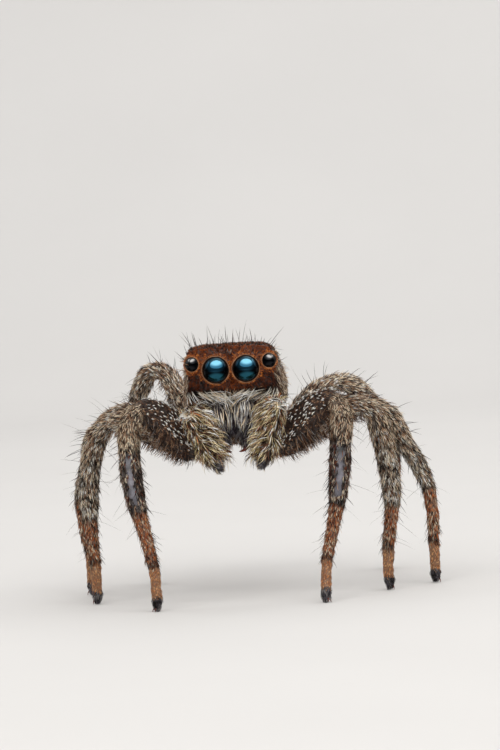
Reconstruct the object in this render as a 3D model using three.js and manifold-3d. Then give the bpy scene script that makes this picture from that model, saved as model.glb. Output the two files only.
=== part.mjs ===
// A jumping spider standing at rest, at life size, in millimetres.
//
// While it is being built the frame is: +Z up, the face looks along -Y, +X is the spider's own left,
// x = 0 is the middle of the body, y = 0 is the front of the face and z = 0 is the ground.
// At the end the whole animal is moved so that the origin lies on the ground under the middle of its
// bounding box.
import * as THREE from "three";
import { mergeVertices } from "three/addons/utils/BufferGeometryUtils.js";
import Module from "manifold-3d";

const wasm = await Module();
wasm.setup();

// ---------------------------------------------------------------- driving dimensions

// The narrow space left between neighbouring pieces.
const GAP = 0.03;

// How many flat sides a piece has around its own axis.
const SIDES = { carapace: 24, abdomen: 20, waist: 10, leg: 10, palp: 12, jaw: 12, hip: 8, fang: 8 };

// How far a limb's curve keeps the direction of a joint, as a share of the length of the segment.
const CURVE_PULL = 0.36;

// Points closer together than this are one point.
const MERGE_WITHIN = 1e-5;

// The carapace, cut across at ten places from the face to the back. Each cut gives the heights of its
// roof and hem, its half widths at the roof, at mid height and at the hem, and how square it is.
const CARAPACE = [
  { y: 0.02, roof: 7.62, hem: 6.42, half: [1.17, 1.2, 1.06], square: 8 },
  { y: 0.1, roof: 7.7, hem: 6.32, half: [1.26, 1.3, 1.22], square: 8 },
  { y: 0.32, roof: 7.75, hem: 6.2, half: [1.3, 1.36, 1.37], square: 7.5 },
  { y: 0.9, roof: 7.75, hem: 5.85, half: [1.28, 1.44, 1.54], square: 5.6 },
  { y: 1.5, roof: 7.72, hem: 5.6, half: [1.2, 1.5, 1.67], square: 4 },
  { y: 2.1, roof: 7.61, hem: 5.52, half: [1.11, 1.56, 1.73], square: 3.2 },
  { y: 2.7, roof: 7.36, hem: 5.5, half: [1.0, 1.53, 1.68], square: 3 },
  { y: 3.2, roof: 6.97, hem: 5.5, half: [0.88, 1.38, 1.5], square: 2.8 },
  { y: 3.7, roof: 6.42, hem: 5.5, half: [0.7, 1.06, 1.16], square: 2.8 },
  { y: 4.05, roof: 5.98, hem: 5.54, half: [0.42, 0.6, 0.62], square: 2.8 },
];

// The abdomen, cut across in the same way: height of its middle and its two half sizes. It is held a
// little to the spider's right, by a share of its distance from the waist.
const ABDOMEN = [
  { y: 4.56, middle: 5.5, half: [0.36, 0.4] },
  { y: 4.85, middle: 5.56, half: [0.82, 0.82] },
  { y: 5.5, middle: 5.64, half: [1.22, 1.16] },
  { y: 6.4, middle: 5.68, half: [1.42, 1.33] },
  { y: 7.3, middle: 5.66, half: [1.44, 1.3] },
  { y: 8.2, middle: 5.58, half: [1.22, 1.06] },
  { y: 9.0, middle: 5.46, half: [0.82, 0.7] },
  { y: 9.5, middle: 5.36, half: [0.44, 0.38] },
];
const ABDOMEN_SQUARENESS = 2.2;
const ABDOMEN_SWING = -0.07;

const PEDICEL = { from: 4.08, to: 4.53, height: 5.55, radius: 0.26 };

const SPINNERETS = { root: 9.53, plate: 0.12, height: 5.34, radius: 0.34, backRadius: 0.27 };
const SPINNERET = { length: 0.5, radius: 0.13, tip: 0.07, spread: 0.15, rise: 0.13 };

// The breast plate between the hips, and the two mouth lobes in front of it.
const STERNUM = { at: [0, 2.15, 4.98], half: [0.85, 1.5, 0.4], across: 16, down: 8 };
const MOUTH_LOBE = { at: [0.27, 0.9, 4.84], half: [0.22, 0.32, 0.32], across: 10, down: 6 };

// The eyes of one side. Each is a ball set in a socket; the sockets are GAP wider all round.
const EYES = [
  { name: "front_middle", at: [0.448, 0.13, 7.0], radius: 0.425, across: 16, down: 10 },
  { name: "front_side", at: [1.12, 0.17, 7.2], radius: 0.25, across: 12, down: 8 },
  { name: "back_small", at: [1.27, 1.15, 7.36], radius: 0.085, across: 8, down: 6 },
  { name: "back_side", at: [1.15, 1.92, 7.28], radius: 0.2, across: 12, down: 6 },
];

// A jaw hangs from under the face; its sizes are half width and half depth.
const JAW = {
  top: [0.36, 0.46, 6.22],
  foot: [0.345, 0.2, 4.68],
  half: [0.315, 0.34],
  profile: [[0, 0.8], [0.12, 0.98], [0.4, 1], [0.75, 0.92], [0.92, 0.76], [1, 0.52]],
};
const FANG = { root: [0.34, 0.16, 4.6], bend: [0.3, 0.1, 4.42], tip: [0.1, 0.16, 4.4], radius: 0.1 };
const FANG_PROFILE = [[0, 1], [0.35, 0.85], [0.7, 0.55], [1, 0.22]];

// A palp runs from the mouth forwards to its knee and then hangs down in front of the jaws. The two
// sides are held a little differently.
const PALP_ROOT = [0.76, 0.76, 4.86];
const PALP_POSE = {
  right: { knee: [1.18, -0.28, 5.8], shin: [0.9, -0.56, 4.96], tip: [0.44, -0.72, 4.0] },
  left: { knee: [1.24, -0.32, 5.98], shin: [1.1, -0.6, 5.05], tip: [0.76, -0.74, 4.02] },
};
const PALP_TURN = 0.3;
const PALP_KNEE_DOWN = 8;
// Half widths and half depths; the long hair makes the hand and its knee broad and flat.
const PALP_HALF = { arm: [0.27, 0.27], knee: [0.48, 0.3], hand: [0.56, 0.3] };
const PALP_ARM_PROFILE = [[0, 0.94], [0.5, 0.97], [1, 1]];
const PALP_HAND_PROFILE = [[0, 0.8], [0.25, 0.96], [0.5, 1], [0.75, 0.95], [0.9, 0.78], [1, 0.48]];

// The leg joints in order from the hip to the ground.
const SEGMENTS = ["femur", "patella", "tibia", "metatarsus", "tarsus"];

// For each pair of legs: where its left hip ends, the lengths of the segments, and the full width and
// height of the thickest place of each.
const LEG_PAIRS = [
  {
    hip: [1.3, 1.0, 4.5],
    lengths: [2.4, 1.3, 1.9, 1.7, 1.3],
    sizes: [[0.84, 1.24], [0.74, 0.82], [0.72, 0.78], [0.54, 0.54], [0.52, 0.52]],
  },
  {
    hip: [1.5, 1.75, 4.65],
    lengths: [2.6, 1.35, 1.75, 1.35, 1.15],
    sizes: [[0.76, 1.0], [0.7, 0.76], [0.68, 0.72], [0.54, 0.54], [0.52, 0.52]],
  },
  {
    hip: [1.5, 2.5, 4.7],
    lengths: [2.9, 1.3, 1.65, 1.7, 1.2],
    sizes: [[0.72, 0.94], [0.64, 0.7], [0.62, 0.64], [0.52, 0.52], [0.52, 0.52]],
  },
  {
    hip: [1.3, 3.2, 4.75],
    lengths: [2.8, 1.35, 2.2, 2.6, 1.35],
    sizes: [[0.72, 0.94], [0.64, 0.7], [0.62, 0.66], [0.52, 0.52], [0.52, 0.52]],
  },
];

// A hip starts inside the breast plate: inset is where, as a share of the distance out to its end, and
// gather is how far its start keeps to the end's place along the body.
const HIP = { radius: 0.35, inset: 0.42, gather: 0.7 };
const HIP_PROFILE = [[0, 0.8], [0.4, 1], [0.8, 1], [1, 0.86]];

// How the thickness of a segment runs along it: [place from 0 to 1, share of the thickest].
const LEG_PROFILES = {
  femur: [[0, 0.7], [0.15, 0.92], [0.4, 1], [0.65, 0.9], [0.86, 0.74], [1, 0.64]],
  patella: [[0, 0.88], [0.35, 1], [0.7, 1], [1, 0.92]],
  tibia: [[0, 0.94], [0.3, 1], [0.7, 0.93], [1, 0.8]],
  metatarsus: [[0, 1], [0.5, 0.96], [1, 0.96]],
  tarsus: [[0, 0.97], [0.5, 0.97], [0.8, 1], [1, 0.97]],
};

// The stance. A yaw of 0 points straight out from the body and 90 straight forwards; a pitch of 90
// points up. The tarsus has no pitch of its own, because it goes down as far as the ground.
const STANCE = [
  { pair: 1, side: "right", yaw: [37, 65, 110, 150, 110], pitch: [35, -62, -71, -75] },
  { pair: 1, side: "left", yaw: [27, 80, 115, 150, 100], pitch: [34, -62, -76, -75] },
  { pair: 2, side: "right", yaw: [5, -25, 60, 110, 130], pitch: [18, -62, -83, -76] },
  { pair: 2, side: "left", yaw: [0, 15, 60, 130, 120], pitch: [20, -68, -80, -76] },
  { pair: 3, side: "right", yaw: [-30, -15, -5, 165, 40], pitch: [18, -56, -71, -83] },
  { pair: 3, side: "left", yaw: [0, -10, 0, 40, 45], pitch: [16, -56, -65, -87] },
  { pair: 4, side: "right", yaw: [-45, -45, -55, -130, -120], pitch: [50, -44, -74, -78] },
  { pair: 4, side: "left", yaw: [-45, -40, -50, -120, -100], pitch: [31, -27, -60, -78] },
];

const ROUGHNESS = { eye: 0.08, coat: 0.7 };
const COLOURS = {
  carapace: 0x6e3a1e,
  abdomen: 0x6f6455,
  underside: 0x5b4a3c,
  leg: 0x5a4434,
  foot: 0x7d4a28,
  palp: 0x8f8674,
  jaw: 0x3d2f29,
  fang: 0x6b1f14,
  eye: 0x07090b,
};

// ---------------------------------------------------------------- shapes

const signOf = (side) => (side === "left" ? 1 : -1);
const sided = (point, side) => new THREE.Vector3(signOf(side) * point[0], point[1], point[2]);

// A rounded square: the point at an angle round a section whose sides are at -1 and 1.
function roundedSquare(angle, squareness) {
  const power = 2 / squareness;
  const c = Math.cos(angle);
  const s = Math.sin(angle);
  return [Math.sign(c) * Math.abs(c) ** power, Math.sign(s) * Math.abs(s) ** power];
}

// A closed solid through a row of rings, with a flat cap at each end.
function loft(rings) {
  const sides = rings[0].length;
  const positions = rings.flat().flatMap((p) => [p.x, p.y, p.z]);
  const index = [];
  for (let r = 0; r < rings.length - 1; r++)
    for (let i = 0; i < sides; i++) {
      const j = (i + 1) % sides;
      const [a, b] = [r * sides + i, r * sides + j];
      index.push(a, b, b + sides, a, b + sides, a + sides);
    }
  const last = (rings.length - 1) * sides;
  for (let i = 1; i < sides - 1; i++) {
    index.push(0, i + 1, i);
    index.push(last, last + i, last + i + 1);
  }
  const geometry = new THREE.BufferGeometry();
  geometry.setAttribute("position", new THREE.Float32BufferAttribute(positions, 3));
  geometry.setIndex(index);
  return facingOut(geometry);
}

// Turns every face round if the closed surface encloses a negative volume.
function facingOut(geometry) {
  const position = geometry.getAttribute("position");
  const index = geometry.index.array;
  const [a, b, c] = [new THREE.Vector3(), new THREE.Vector3(), new THREE.Vector3()];
  let volume = 0;
  for (let i = 0; i < index.length; i += 3) {
    a.fromBufferAttribute(position, index[i]);
    b.fromBufferAttribute(position, index[i + 1]);
    c.fromBufferAttribute(position, index[i + 2]);
    volume += a.dot(b.cross(c));
  }
  if (volume < 0)
    for (let i = 0; i < index.length; i += 3) [index[i + 1], index[i + 2]] = [index[i + 2], index[i + 1]];
  return geometry;
}

// Half sizes [width, height] at a place along a piece, from its profile.
function sizeAt(profile, half, place) {
  const next = Math.max(1, profile.findIndex(([at]) => at >= place));
  const [a, b] = [profile[next - 1], profile[next]];
  const share = THREE.MathUtils.lerp(a[1], b[1], (place - a[0]) / (b[0] - a[0]));
  return half.map((size) => size * share);
}

// The rings of a limb along a curve. The width lies along the given sideways direction.
function limbRings(curve, profile, half, sideways, sides) {
  const length = curve.getLength();
  const trim = GAP / 2 / length;
  return profile.map(([place]) => {
    const u = THREE.MathUtils.lerp(trim, 1 - trim, place);
    const centre = curve.getPointAt(u);
    const along = curve.getTangentAt(u);
    const across = sideways.clone().addScaledVector(along, -sideways.dot(along)).normalize();
    const up = new THREE.Vector3().crossVectors(across, along);
    const [width, height] = sizeAt(profile, half, place);
    return Array.from({ length: sides }, (_, i) => {
      const angle = (2 * Math.PI * (i + 0.5)) / sides;
      const out = across.clone().multiplyScalar(Math.cos(angle) * width);
      return out.addScaledVector(up, Math.sin(angle) * height).add(centre);
    });
  });
}

// A curve from one joint to the next that leaves and arrives in the joints' own directions.
function arc(start, end, leaving, arriving) {
  const pull = start.distanceTo(end) * CURVE_PULL;
  return new THREE.CubicBezierCurve3(
    start,
    start.clone().addScaledVector(leaving, pull),
    end.clone().addScaledVector(arriving, -pull),
    end,
  );
}

// ---------------------------------------------------------------- joining and cutting

function toSolid(geometry) {
  const bare = geometry.clone();
  bare.deleteAttribute("normal");
  bare.deleteAttribute("uv");
  const merged = mergeVertices(bare, MERGE_WITHIN);
  return new wasm.Manifold(
    new wasm.Mesh({
      numProp: 3,
      vertProperties: merged.getAttribute("position").array,
      triVerts: new Uint32Array(merged.index.array),
    }),
  );
}

// The surface of a solid, without the slivers that a cut can leave beside it.
function toGeometry(solid) {
  const [body] = solid.decompose().sort((a, b) => b.volume() - a.volume());
  const mesh = body.getMesh();
  const geometry = new THREE.BufferGeometry();
  geometry.setAttribute("position", new THREE.Float32BufferAttribute(mesh.vertProperties, 3));
  geometry.setIndex(Array.from(mesh.triVerts));
  return geometry;
}

function joined(geometries) {
  return toGeometry(geometries.map(toSolid).reduce((whole, piece) => whole.add(piece)));
}

function ball(centre, half, across, down) {
  const geometry = new THREE.SphereGeometry(1, across, down);
  return geometry.scale(...half).translate(centre.x, centre.y, centre.z);
}

// ---------------------------------------------------------------- body

function carapace() {
  const rings = CARAPACE.map(({ y, roof, hem, half, square }) => {
    const [top, belt, foot] = half;
    return Array.from({ length: SIDES.carapace }, (_, i) => {
      const [c, s] = roundedSquare((2 * Math.PI * i) / SIDES.carapace, square);
      const end = s > 0 ? top : foot;
      const width = belt + (end - belt) * s * s;
      return new THREE.Vector3(c * width, y, THREE.MathUtils.lerp(hem, roof, (s + 1) / 2));
    });
  });
  let solid = toSolid(loft(rings));
  for (const side of ["left", "right"]) {
    solid = solid.subtract(toSolid(jaw(side, GAP)));
    for (const eye of EYES) {
      const reach = eye.radius + GAP;
      const socket = ball(sided(eye.at, side), [reach, reach, reach], eye.across, eye.down);
      solid = solid.subtract(toSolid(socket));
    }
  }
  return toGeometry(solid);
}

function abdomen() {
  return loft(
    ABDOMEN.map(({ y, middle, half }) =>
      Array.from({ length: SIDES.abdomen }, (_, i) => {
        const [c, s] = roundedSquare((2 * Math.PI * (i + 0.5)) / SIDES.abdomen, ABDOMEN_SQUARENESS);
        return new THREE.Vector3(swungTo(y) + c * half[0], y, middle + s * half[1]);
      }),
    ),
  );
}

// How far to the side the middle of the abdomen lies at a place along the body.
function swungTo(y) {
  return ABDOMEN_SWING * (y - PEDICEL.to);
}

function cylinderAlongY(radiusFront, radiusBack, from, to, x, z) {
  const geometry = new THREE.CylinderGeometry(radiusBack, radiusFront, to - from, SIDES.waist);
  return geometry.translate(0, (from + to) / 2, 0).translate(x, 0, z);
}

function spinnerets() {
  const { root, plate, height } = SPINNERETS;
  const middle = swungTo(root);
  const pieces = [
    cylinderAlongY(SPINNERETS.radius, SPINNERETS.backRadius, root, root + plate, middle, height),
  ];
  const { length, radius, tip, spread, rise } = SPINNERET;
  const from = root + plate / 2;
  const to = root + plate + length;
  for (const x of [-spread, spread])
    for (const z of [-rise, rise])
      pieces.push(cylinderAlongY(radius, tip, from, to, middle + x, height + z));
  return joined(pieces);
}

// The breast plate with the eight hips that grow out of it and the mouth lobes.
function underbody() {
  const breast = new THREE.Vector3(...STERNUM.at);
  const pieces = [ball(breast, STERNUM.half, STERNUM.across, STERNUM.down)];
  for (const side of ["left", "right"]) {
    const place = sided(MOUTH_LOBE.at, side);
    pieces.push(ball(place, MOUTH_LOBE.half, MOUTH_LOBE.across, MOUTH_LOBE.down));
  }
  for (const leg of STANCE) pieces.push(hip(leg));
  let solid = toSolid(joined(pieces));
  for (const side of ["left", "right"]) solid = solid.subtract(toSolid(palp(side, GAP)));
  return toGeometry(solid);
}

function hip(leg) {
  const [, middle, height] = STERNUM.at;
  const end = hipEnd(leg);
  const along = THREE.MathUtils.lerp(middle, end.y, HIP.gather);
  const start = new THREE.Vector3(end.x * HIP.inset, along, height);
  const leaving = end.clone().sub(start).normalize();
  const curve = arc(start, end, leaving, legDirection(leg, 0));
  const half = [HIP.radius, HIP.radius];
  return loft(limbRings(curve, HIP_PROFILE, half, new THREE.Vector3(0, 1, 0), SIDES.hip));
}

function hipEnd(leg) {
  return sided(LEG_PAIRS[leg.pair - 1].hip, leg.side);
}

// The jaw, or with room to spare all round, the recess that it hangs in.
function jaw(side, room = 0) {
  const top = sided(JAW.top, side);
  const foot = sided(JAW.foot, side);
  const down = foot.clone().sub(top).normalize();
  const curve = arc(top.addScaledVector(down, -room), foot, down, down);
  const half = JAW.half.map((size) => size + room);
  return loft(limbRings(curve, JAW.profile, half, new THREE.Vector3(1, 0, 0), SIDES.jaw));
}

function fang(side) {
  const [root, bend, tip] = [FANG.root, FANG.bend, FANG.tip].map((point) => sided(point, side));
  const curve = new THREE.QuadraticBezierCurve3(root, bend, tip);
  const half = [FANG.radius, FANG.radius];
  return loft(limbRings(curve, FANG_PROFILE, half, new THREE.Vector3(0, 1, 0), SIDES.fang));
}

// The palp, or with room to spare all round, the seat that it needs beside the mouth. It is an arm
// and a hand that meet in a round knee.
function palp(side, room = 0) {
  const { knee, shin, tip } = PALP_POSE[side];
  const [root, bend, low, end] = [PALP_ROOT, knee, shin, tip].map((point) => sided(point, side));
  const roomy = (half) => half.map((size) => size + room);
  const sideways = new THREE.Vector3(1, PALP_TURN * signOf(side), 0).normalize();
  const upper = new THREE.LineCurve3(root, bend);
  const lower = new THREE.QuadraticBezierCurve3(bend, low, end);
  const [width, depth] = roomy(PALP_HALF.knee);
  return joined([
    loft(limbRings(upper, PALP_ARM_PROFILE, roomy(PALP_HALF.arm), sideways, SIDES.palp)),
    loft(limbRings(lower, PALP_HAND_PROFILE, roomy(PALP_HALF.hand), sideways, SIDES.palp)),
    ball(bend, [width, depth, depth], SIDES.palp, PALP_KNEE_DOWN),
  ]);
}

// ---------------------------------------------------------------- legs

function direction(side, yaw, pitch) {
  const [y, p] = [yaw, pitch].map(THREE.MathUtils.degToRad);
  return new THREE.Vector3(
    signOf(side) * Math.cos(p) * Math.cos(y),
    -Math.cos(p) * Math.sin(y),
    Math.sin(p),
  );
}

function legDirection(leg, segment) {
  return direction(leg.side, leg.yaw[segment], leg.pitch[segment]);
}

// The six joints of a leg, from the hip to the sole. The tarsus slopes so that its end is at z = 0.
function legJoints(leg) {
  const { lengths } = LEG_PAIRS[leg.pair - 1];
  const joints = [hipEnd(leg)];
  leg.pitch.forEach((_, i) => {
    joints.push(joints[i].clone().addScaledVector(legDirection(leg, i), lengths[i]));
  });
  const ankle = joints.at(-1);
  const reach = lengths.at(-1);
  const pitch = -THREE.MathUtils.radToDeg(Math.asin(Math.min(1, ankle.z / reach)));
  joints.push(ankle.clone().addScaledVector(direction(leg.side, leg.yaw.at(-1), pitch), reach));
  return joints;
}

// The direction of the leg at each joint: halfway between the two segments that meet there.
function jointDirections(joints) {
  const runs = joints.slice(1).map((joint, i) => joint.clone().sub(joints[i]).normalize());
  const between = runs.slice(1).map((run, i) => run.clone().add(runs[i]).normalize());
  return [runs[0], ...between, runs.at(-1)];
}

// Slides the last ring of the tarsus along the leg onto the ground, so that the sole is flat.
function flattenSole(rings, down) {
  const sole = rings.at(-1);
  for (const point of sole) point.addScaledVector(down, -point.z / down.z);
  return rings;
}

function legSegments(leg) {
  const joints = legJoints(leg);
  const turns = jointDirections(joints);
  const { sizes } = LEG_PAIRS[leg.pair - 1];
  const yaw = THREE.MathUtils.degToRad(leg.yaw[0]);
  const sideways = new THREE.Vector3(signOf(leg.side) * Math.sin(yaw), Math.cos(yaw), 0);
  return SEGMENTS.map((name, i) => {
    const curve = arc(joints[i], joints[i + 1], turns[i], turns[i + 1]);
    const half = sizes[i].map((size) => size / 2);
    const rings = limbRings(curve, LEG_PROFILES[name], half, sideways, SIDES.leg);
    if (name === "tarsus") flattenSole(rings, turns[i + 1]);
    return { name, geometry: loft(rings) };
  });
}

// ---------------------------------------------------------------- the animal

function material(name) {
  const roughness = name === "eye" ? ROUGHNESS.eye : ROUGHNESS.coat;
  return new THREE.MeshStandardMaterial({ name, color: COLOURS[name], roughness, metalness: 0 });
}

const materials = Object.fromEntries(Object.keys(COLOURS).map((name) => [name, material(name)]));

const spider = new THREE.Group();

function add(name, geometry, finish) {
  const mesh = new THREE.Mesh(geometry, materials[finish]);
  mesh.name = name;
  mesh.geometry.computeVertexNormals();
  spider.add(mesh);
}

add("carapace", carapace(), "carapace");
add("abdomen", abdomen(), "abdomen");
add(
  "pedicel",
  cylinderAlongY(PEDICEL.radius, PEDICEL.radius, PEDICEL.from, PEDICEL.to, 0, PEDICEL.height),
  "underside",
);
add("spinnerets", spinnerets(), "underside");
add("underbody", underbody(), "underside");

for (const side of ["left", "right"]) {
  add(`jaw_${side}`, jaw(side), "jaw");
  add(`fang_${side}`, fang(side), "fang");
  add(`palp_${side}`, palp(side), "palp");
  for (const { name, at, radius, across, down } of EYES) {
    const centre = sided(at, side);
    add(`eye_${name}_${side}`, ball(centre, [radius, radius, radius], across, down), "eye");
  }
}

for (const leg of STANCE)
  for (const { name, geometry } of legSegments(leg)) {
    const finish = name === "metatarsus" || name === "tarsus" ? "foot" : "leg";
    add(`leg_${leg.pair}_${leg.side}_${name}`, geometry, finish);
  }

const box = new THREE.Box3().setFromObject(spider);
const middle = box.getCenter(new THREE.Vector3());
spider.position.set(-middle.x, -middle.y, -box.min.z);

export default spider;
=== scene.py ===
import math

import bpy
import numpy as np
from mathutils import Matrix, Vector
from mathutils.bvhtree import BVHTree


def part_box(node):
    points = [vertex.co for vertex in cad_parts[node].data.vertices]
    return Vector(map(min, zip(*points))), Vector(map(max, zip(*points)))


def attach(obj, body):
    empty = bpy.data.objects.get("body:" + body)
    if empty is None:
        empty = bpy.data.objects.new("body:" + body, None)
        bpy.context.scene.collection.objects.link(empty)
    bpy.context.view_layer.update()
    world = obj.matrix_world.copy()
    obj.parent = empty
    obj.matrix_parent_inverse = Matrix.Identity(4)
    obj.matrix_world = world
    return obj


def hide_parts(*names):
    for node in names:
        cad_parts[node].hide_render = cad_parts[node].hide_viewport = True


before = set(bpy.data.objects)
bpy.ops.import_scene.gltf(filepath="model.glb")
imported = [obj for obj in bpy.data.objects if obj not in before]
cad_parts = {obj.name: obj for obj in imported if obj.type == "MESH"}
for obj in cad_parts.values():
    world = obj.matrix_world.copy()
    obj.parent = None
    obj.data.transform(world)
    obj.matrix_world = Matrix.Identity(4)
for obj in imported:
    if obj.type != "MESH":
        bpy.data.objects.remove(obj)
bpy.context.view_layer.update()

MM = 0.001
SEED = 20240611
FACE_FRONT = 0.02
SIDES = {"left": 1.0, "right": -1.0}
UP = np.array([0.0, 0.0, 1.0])

face_low, face_high = (np.array(corner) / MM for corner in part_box("carapace"))
BODY_ORIGIN = np.array([(face_low[0] + face_high[0]) / 2, face_low[1] - FACE_FRONT, 0.0])


def to_row(points):
    return (np.asarray(points, float) + BODY_ORIGIN) * MM


# ---------------------------------------- numbers and points

def unit(v):
    return v / np.maximum(np.linalg.norm(v, axis=-1, keepdims=True), 1e-12)


def dot(a, b):
    return np.sum(a * b, axis=-1)


def ramp(low, high, x):
    """0 below low, 1 above high and a smooth rise between them."""
    t = np.clip((np.asarray(x, float) - low) / (high - low), 0, 1)
    return t * t * (3 - 2 * t)


def blend(a, b, share):
    return a + (b - a) * share


def in_plane(v, normal):
    """The part of v that lies in the surface, at unit length."""
    return unit(v - normal * dot(v, normal)[..., None])


def full_turn(count):
    return math.tau * np.arange(count) / count


def circle(angle, across, up):
    """Directions at angles round a circle."""
    return np.cos(angle)[:, None] * across + np.sin(angle)[:, None] * up


def run_along(points):
    """How far along a row of points each of them is."""
    return np.r_[0, np.cumsum(np.linalg.norm(np.diff(points, axis=0), axis=1))]


RIPPLE_WAVES = 7


def ripple(points, size, seed):
    """A soft random pattern, mostly between -1.5 and 1.5, whose blots are about size mm across."""
    random = np.random.default_rng(seed)
    total = np.zeros(len(points))
    for _ in range(RIPPLE_WAVES):
        wave = unit(random.normal(size=3)) * math.tau / (size * random.uniform(1.3, 3.0))
        total += np.sin(points @ wave + random.uniform(0, math.tau))
    return total / math.sqrt(RIPPLE_WAVES / 2)


def clumps(points, size, seed):
    """A random value from 0 to 1 for each point, the same for all the points of a small cell."""
    cell = np.floor(points / size + 1000).astype(np.int64)
    mixed = (cell[:, 0] * 73856093) ^ (cell[:, 1] * 19349663) ^ (cell[:, 2] * 83492791) ^ (seed * 2654435761)
    return ((mixed * 1103515245 + 12345) >> 7) % 4096 / 4096


# ---------------------------------------- colours and coats

def rgb(red, green, blue):
    """A colour named as it looks, 0 to 255, as the linear values that materials hold."""
    c = np.array([red, green, blue], float) / 255
    return np.where(c <= 0.04045, c / 12.92, ((c + 0.055) / 1.055) ** 2.4)


PALETTE = {
    "black": rgb(24, 19, 18), "soot": rgb(44, 33, 28), "dark": rgb(58, 40, 30), "brown": rgb(98, 68, 52),
    "chestnut": rgb(112, 60, 32), "rust": rgb(128, 74, 46), "orange": rgb(200, 112, 56),
    "tan": rgb(156, 124, 98), "cream": rgb(212, 192, 166), "white": rgb(238, 232, 218),
    "grey": rgb(134, 128, 124), "slate": rgb(74, 70, 76), "steel": rgb(104, 101, 108),
    "amber": rgb(184, 122, 80), "maroon": rgb(98, 44, 28), "brick": rgb(158, 84, 46),
    "ember": rgb(190, 110, 50), "plum": rgb(56, 42, 50), "olive": rgb(142, 126, 88),
    "straw": rgb(210, 192, 154), "sand": rgb(206, 156, 112), "copper": rgb(132, 64, 24),
    "cocoa": rgb(74, 31, 12), "umber": rgb(104, 50, 20),
}
# The flecks of the first femora carry a painted highlight: their colour is twice as bright as cream, as
# though they catch the light.
PALETTE["fleck"] = PALETTE["cream"] * 2.0

# Each coat: hairs in a square mm, shortest and longest in mm, width in mm, least and most lift off the
# skin at the root and how much of it they lose on the way to the tip, in degrees. Then its tones, from
# dark to light, with the percentage of the hairs that has each.
COATS = {
    "femur_1": (640, 0.08, 0.15, 0.024, 5, 16, 8, "black 24 soot 20 dark 24 brown 26 tan 6"),
    "patella_1": (640, 0.1, 0.2, 0.021, 10, 30, 14, "black 20 dark 18 brown 16 tan 20 cream 26"),
    "tibia_1": (660, 0.1, 0.2, 0.021, 8, 24, 12, "black 34 soot 16 maroon 14 brown 12 grey 14 cream 10"),
    "metatarsus_1": (660, 0.08, 0.16, 0.02, 8, 22, 10, "black 12 maroon 18 brick 28 amber 24 cream 18"),
    "tarsus_1": (660, 0.07, 0.13, 0.018, 6, 16, 10, "rust 20 amber 36 sand 44"),
    "femur": (520, 0.12, 0.23, 0.022, 10, 28, 14, "black 10 soot 10 brown 16 tan 26 cream 28 white 10"),
    "patella": (580, 0.12, 0.23, 0.021, 10, 32, 16, "black 20 dark 12 brown 10 tan 20 cream 22 white 16"),
    "tibia": (620, 0.11, 0.22, 0.02, 10, 30, 14, "black 24 soot 12 brown 10 tan 10 cream 24 white 20"),
    "rusty": (640, 0.09, 0.18, 0.02, 8, 26, 12, "black 10 maroon 14 brick 34 amber 26 cream 16"),
    "metatarsus": (640, 0.1, 0.2, 0.02, 10, 30, 12, "black 18 chestnut 18 brick 18 amber 20 cream 26"),
    "tarsus": (660, 0.07, 0.13, 0.018, 6, 16, 10, "rust 20 amber 36 sand 44"),
    "tuft": (1200, 0.1, 0.2, 0.017, 12, 38, 30, "black 34 slate 44 grey 22"),
    "crown": (760, 0.07, 0.14, 0.02, 24, 52, 12, "black 30 dark 34 umber 26 chestnut 10"),
    "face": (1900, 0.05, 0.11, 0.015, 12, 36, 16, "black 10 cocoa 38 umber 30 copper 22"),
    "jowl": (1500, 0.06, 0.13, 0.016, 12, 36, 14, "black 34 cocoa 46 umber 20"),
    "brow": (2000, 0.04, 0.09, 0.015, 14, 34, 14, "cocoa 24 umber 20 copper 30 ember 26"),
    "nape": (620, 0.1, 0.22, 0.021, 18, 42, 14, "soot 20 dark 20 chestnut 20 tan 22 cream 18"),
    "eye_line": (620, 0.12, 0.22, 0.021, 14, 34, 14, "tan 30 cream 40 white 30"),
    "cheek": (480, 0.16, 0.3, 0.023, 10, 30, 16, "soot 30 brown 24 tan 24 cream 22"),
    "clypeus": (900, 0.12, 0.24, 0.019, 10, 30, 14, "black 46 soot 30 brown 16 tan 8"),
    "jaw": (700, 0.14, 0.28, 0.019, 8, 26, 16, "black 42 plum 34 slate 16 grey 8"),
    "palp": (760, 0.2, 0.42, 0.02, 26, 66, 66, "soot 32 brown 20 olive 14 tan 12 straw 14 white 8"),
    "palp_tip": (900, 0.1, 0.2, 0.019, 14, 36, 24, "black 20 slate 36 grey 30 cream 14"),
    "abdomen": (380, 0.22, 0.42, 0.027, 12, 34, 16, "soot 18 brown 32 tan 30 cream 20"),
    "abdomen_light": (380, 0.22, 0.42, 0.027, 12, 34, 16, "brown 10 tan 28 cream 40 white 22"),
    "abdomen_dark": (380, 0.22, 0.4, 0.027, 12, 34, 16, "black 34 soot 34 brown 24 tan 8"),
    "underside": (300, 0.16, 0.32, 0.023, 14, 38, 16, "soot 22 brown 34 tan 28 cream 16"),
}
COAT_NAMES = list(COATS)
COAT_NUMBER = {name: number for number, name in enumerate(COAT_NAMES)}
GROWTH = np.array([row[:-1] for row in COATS.values()], float)

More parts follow.
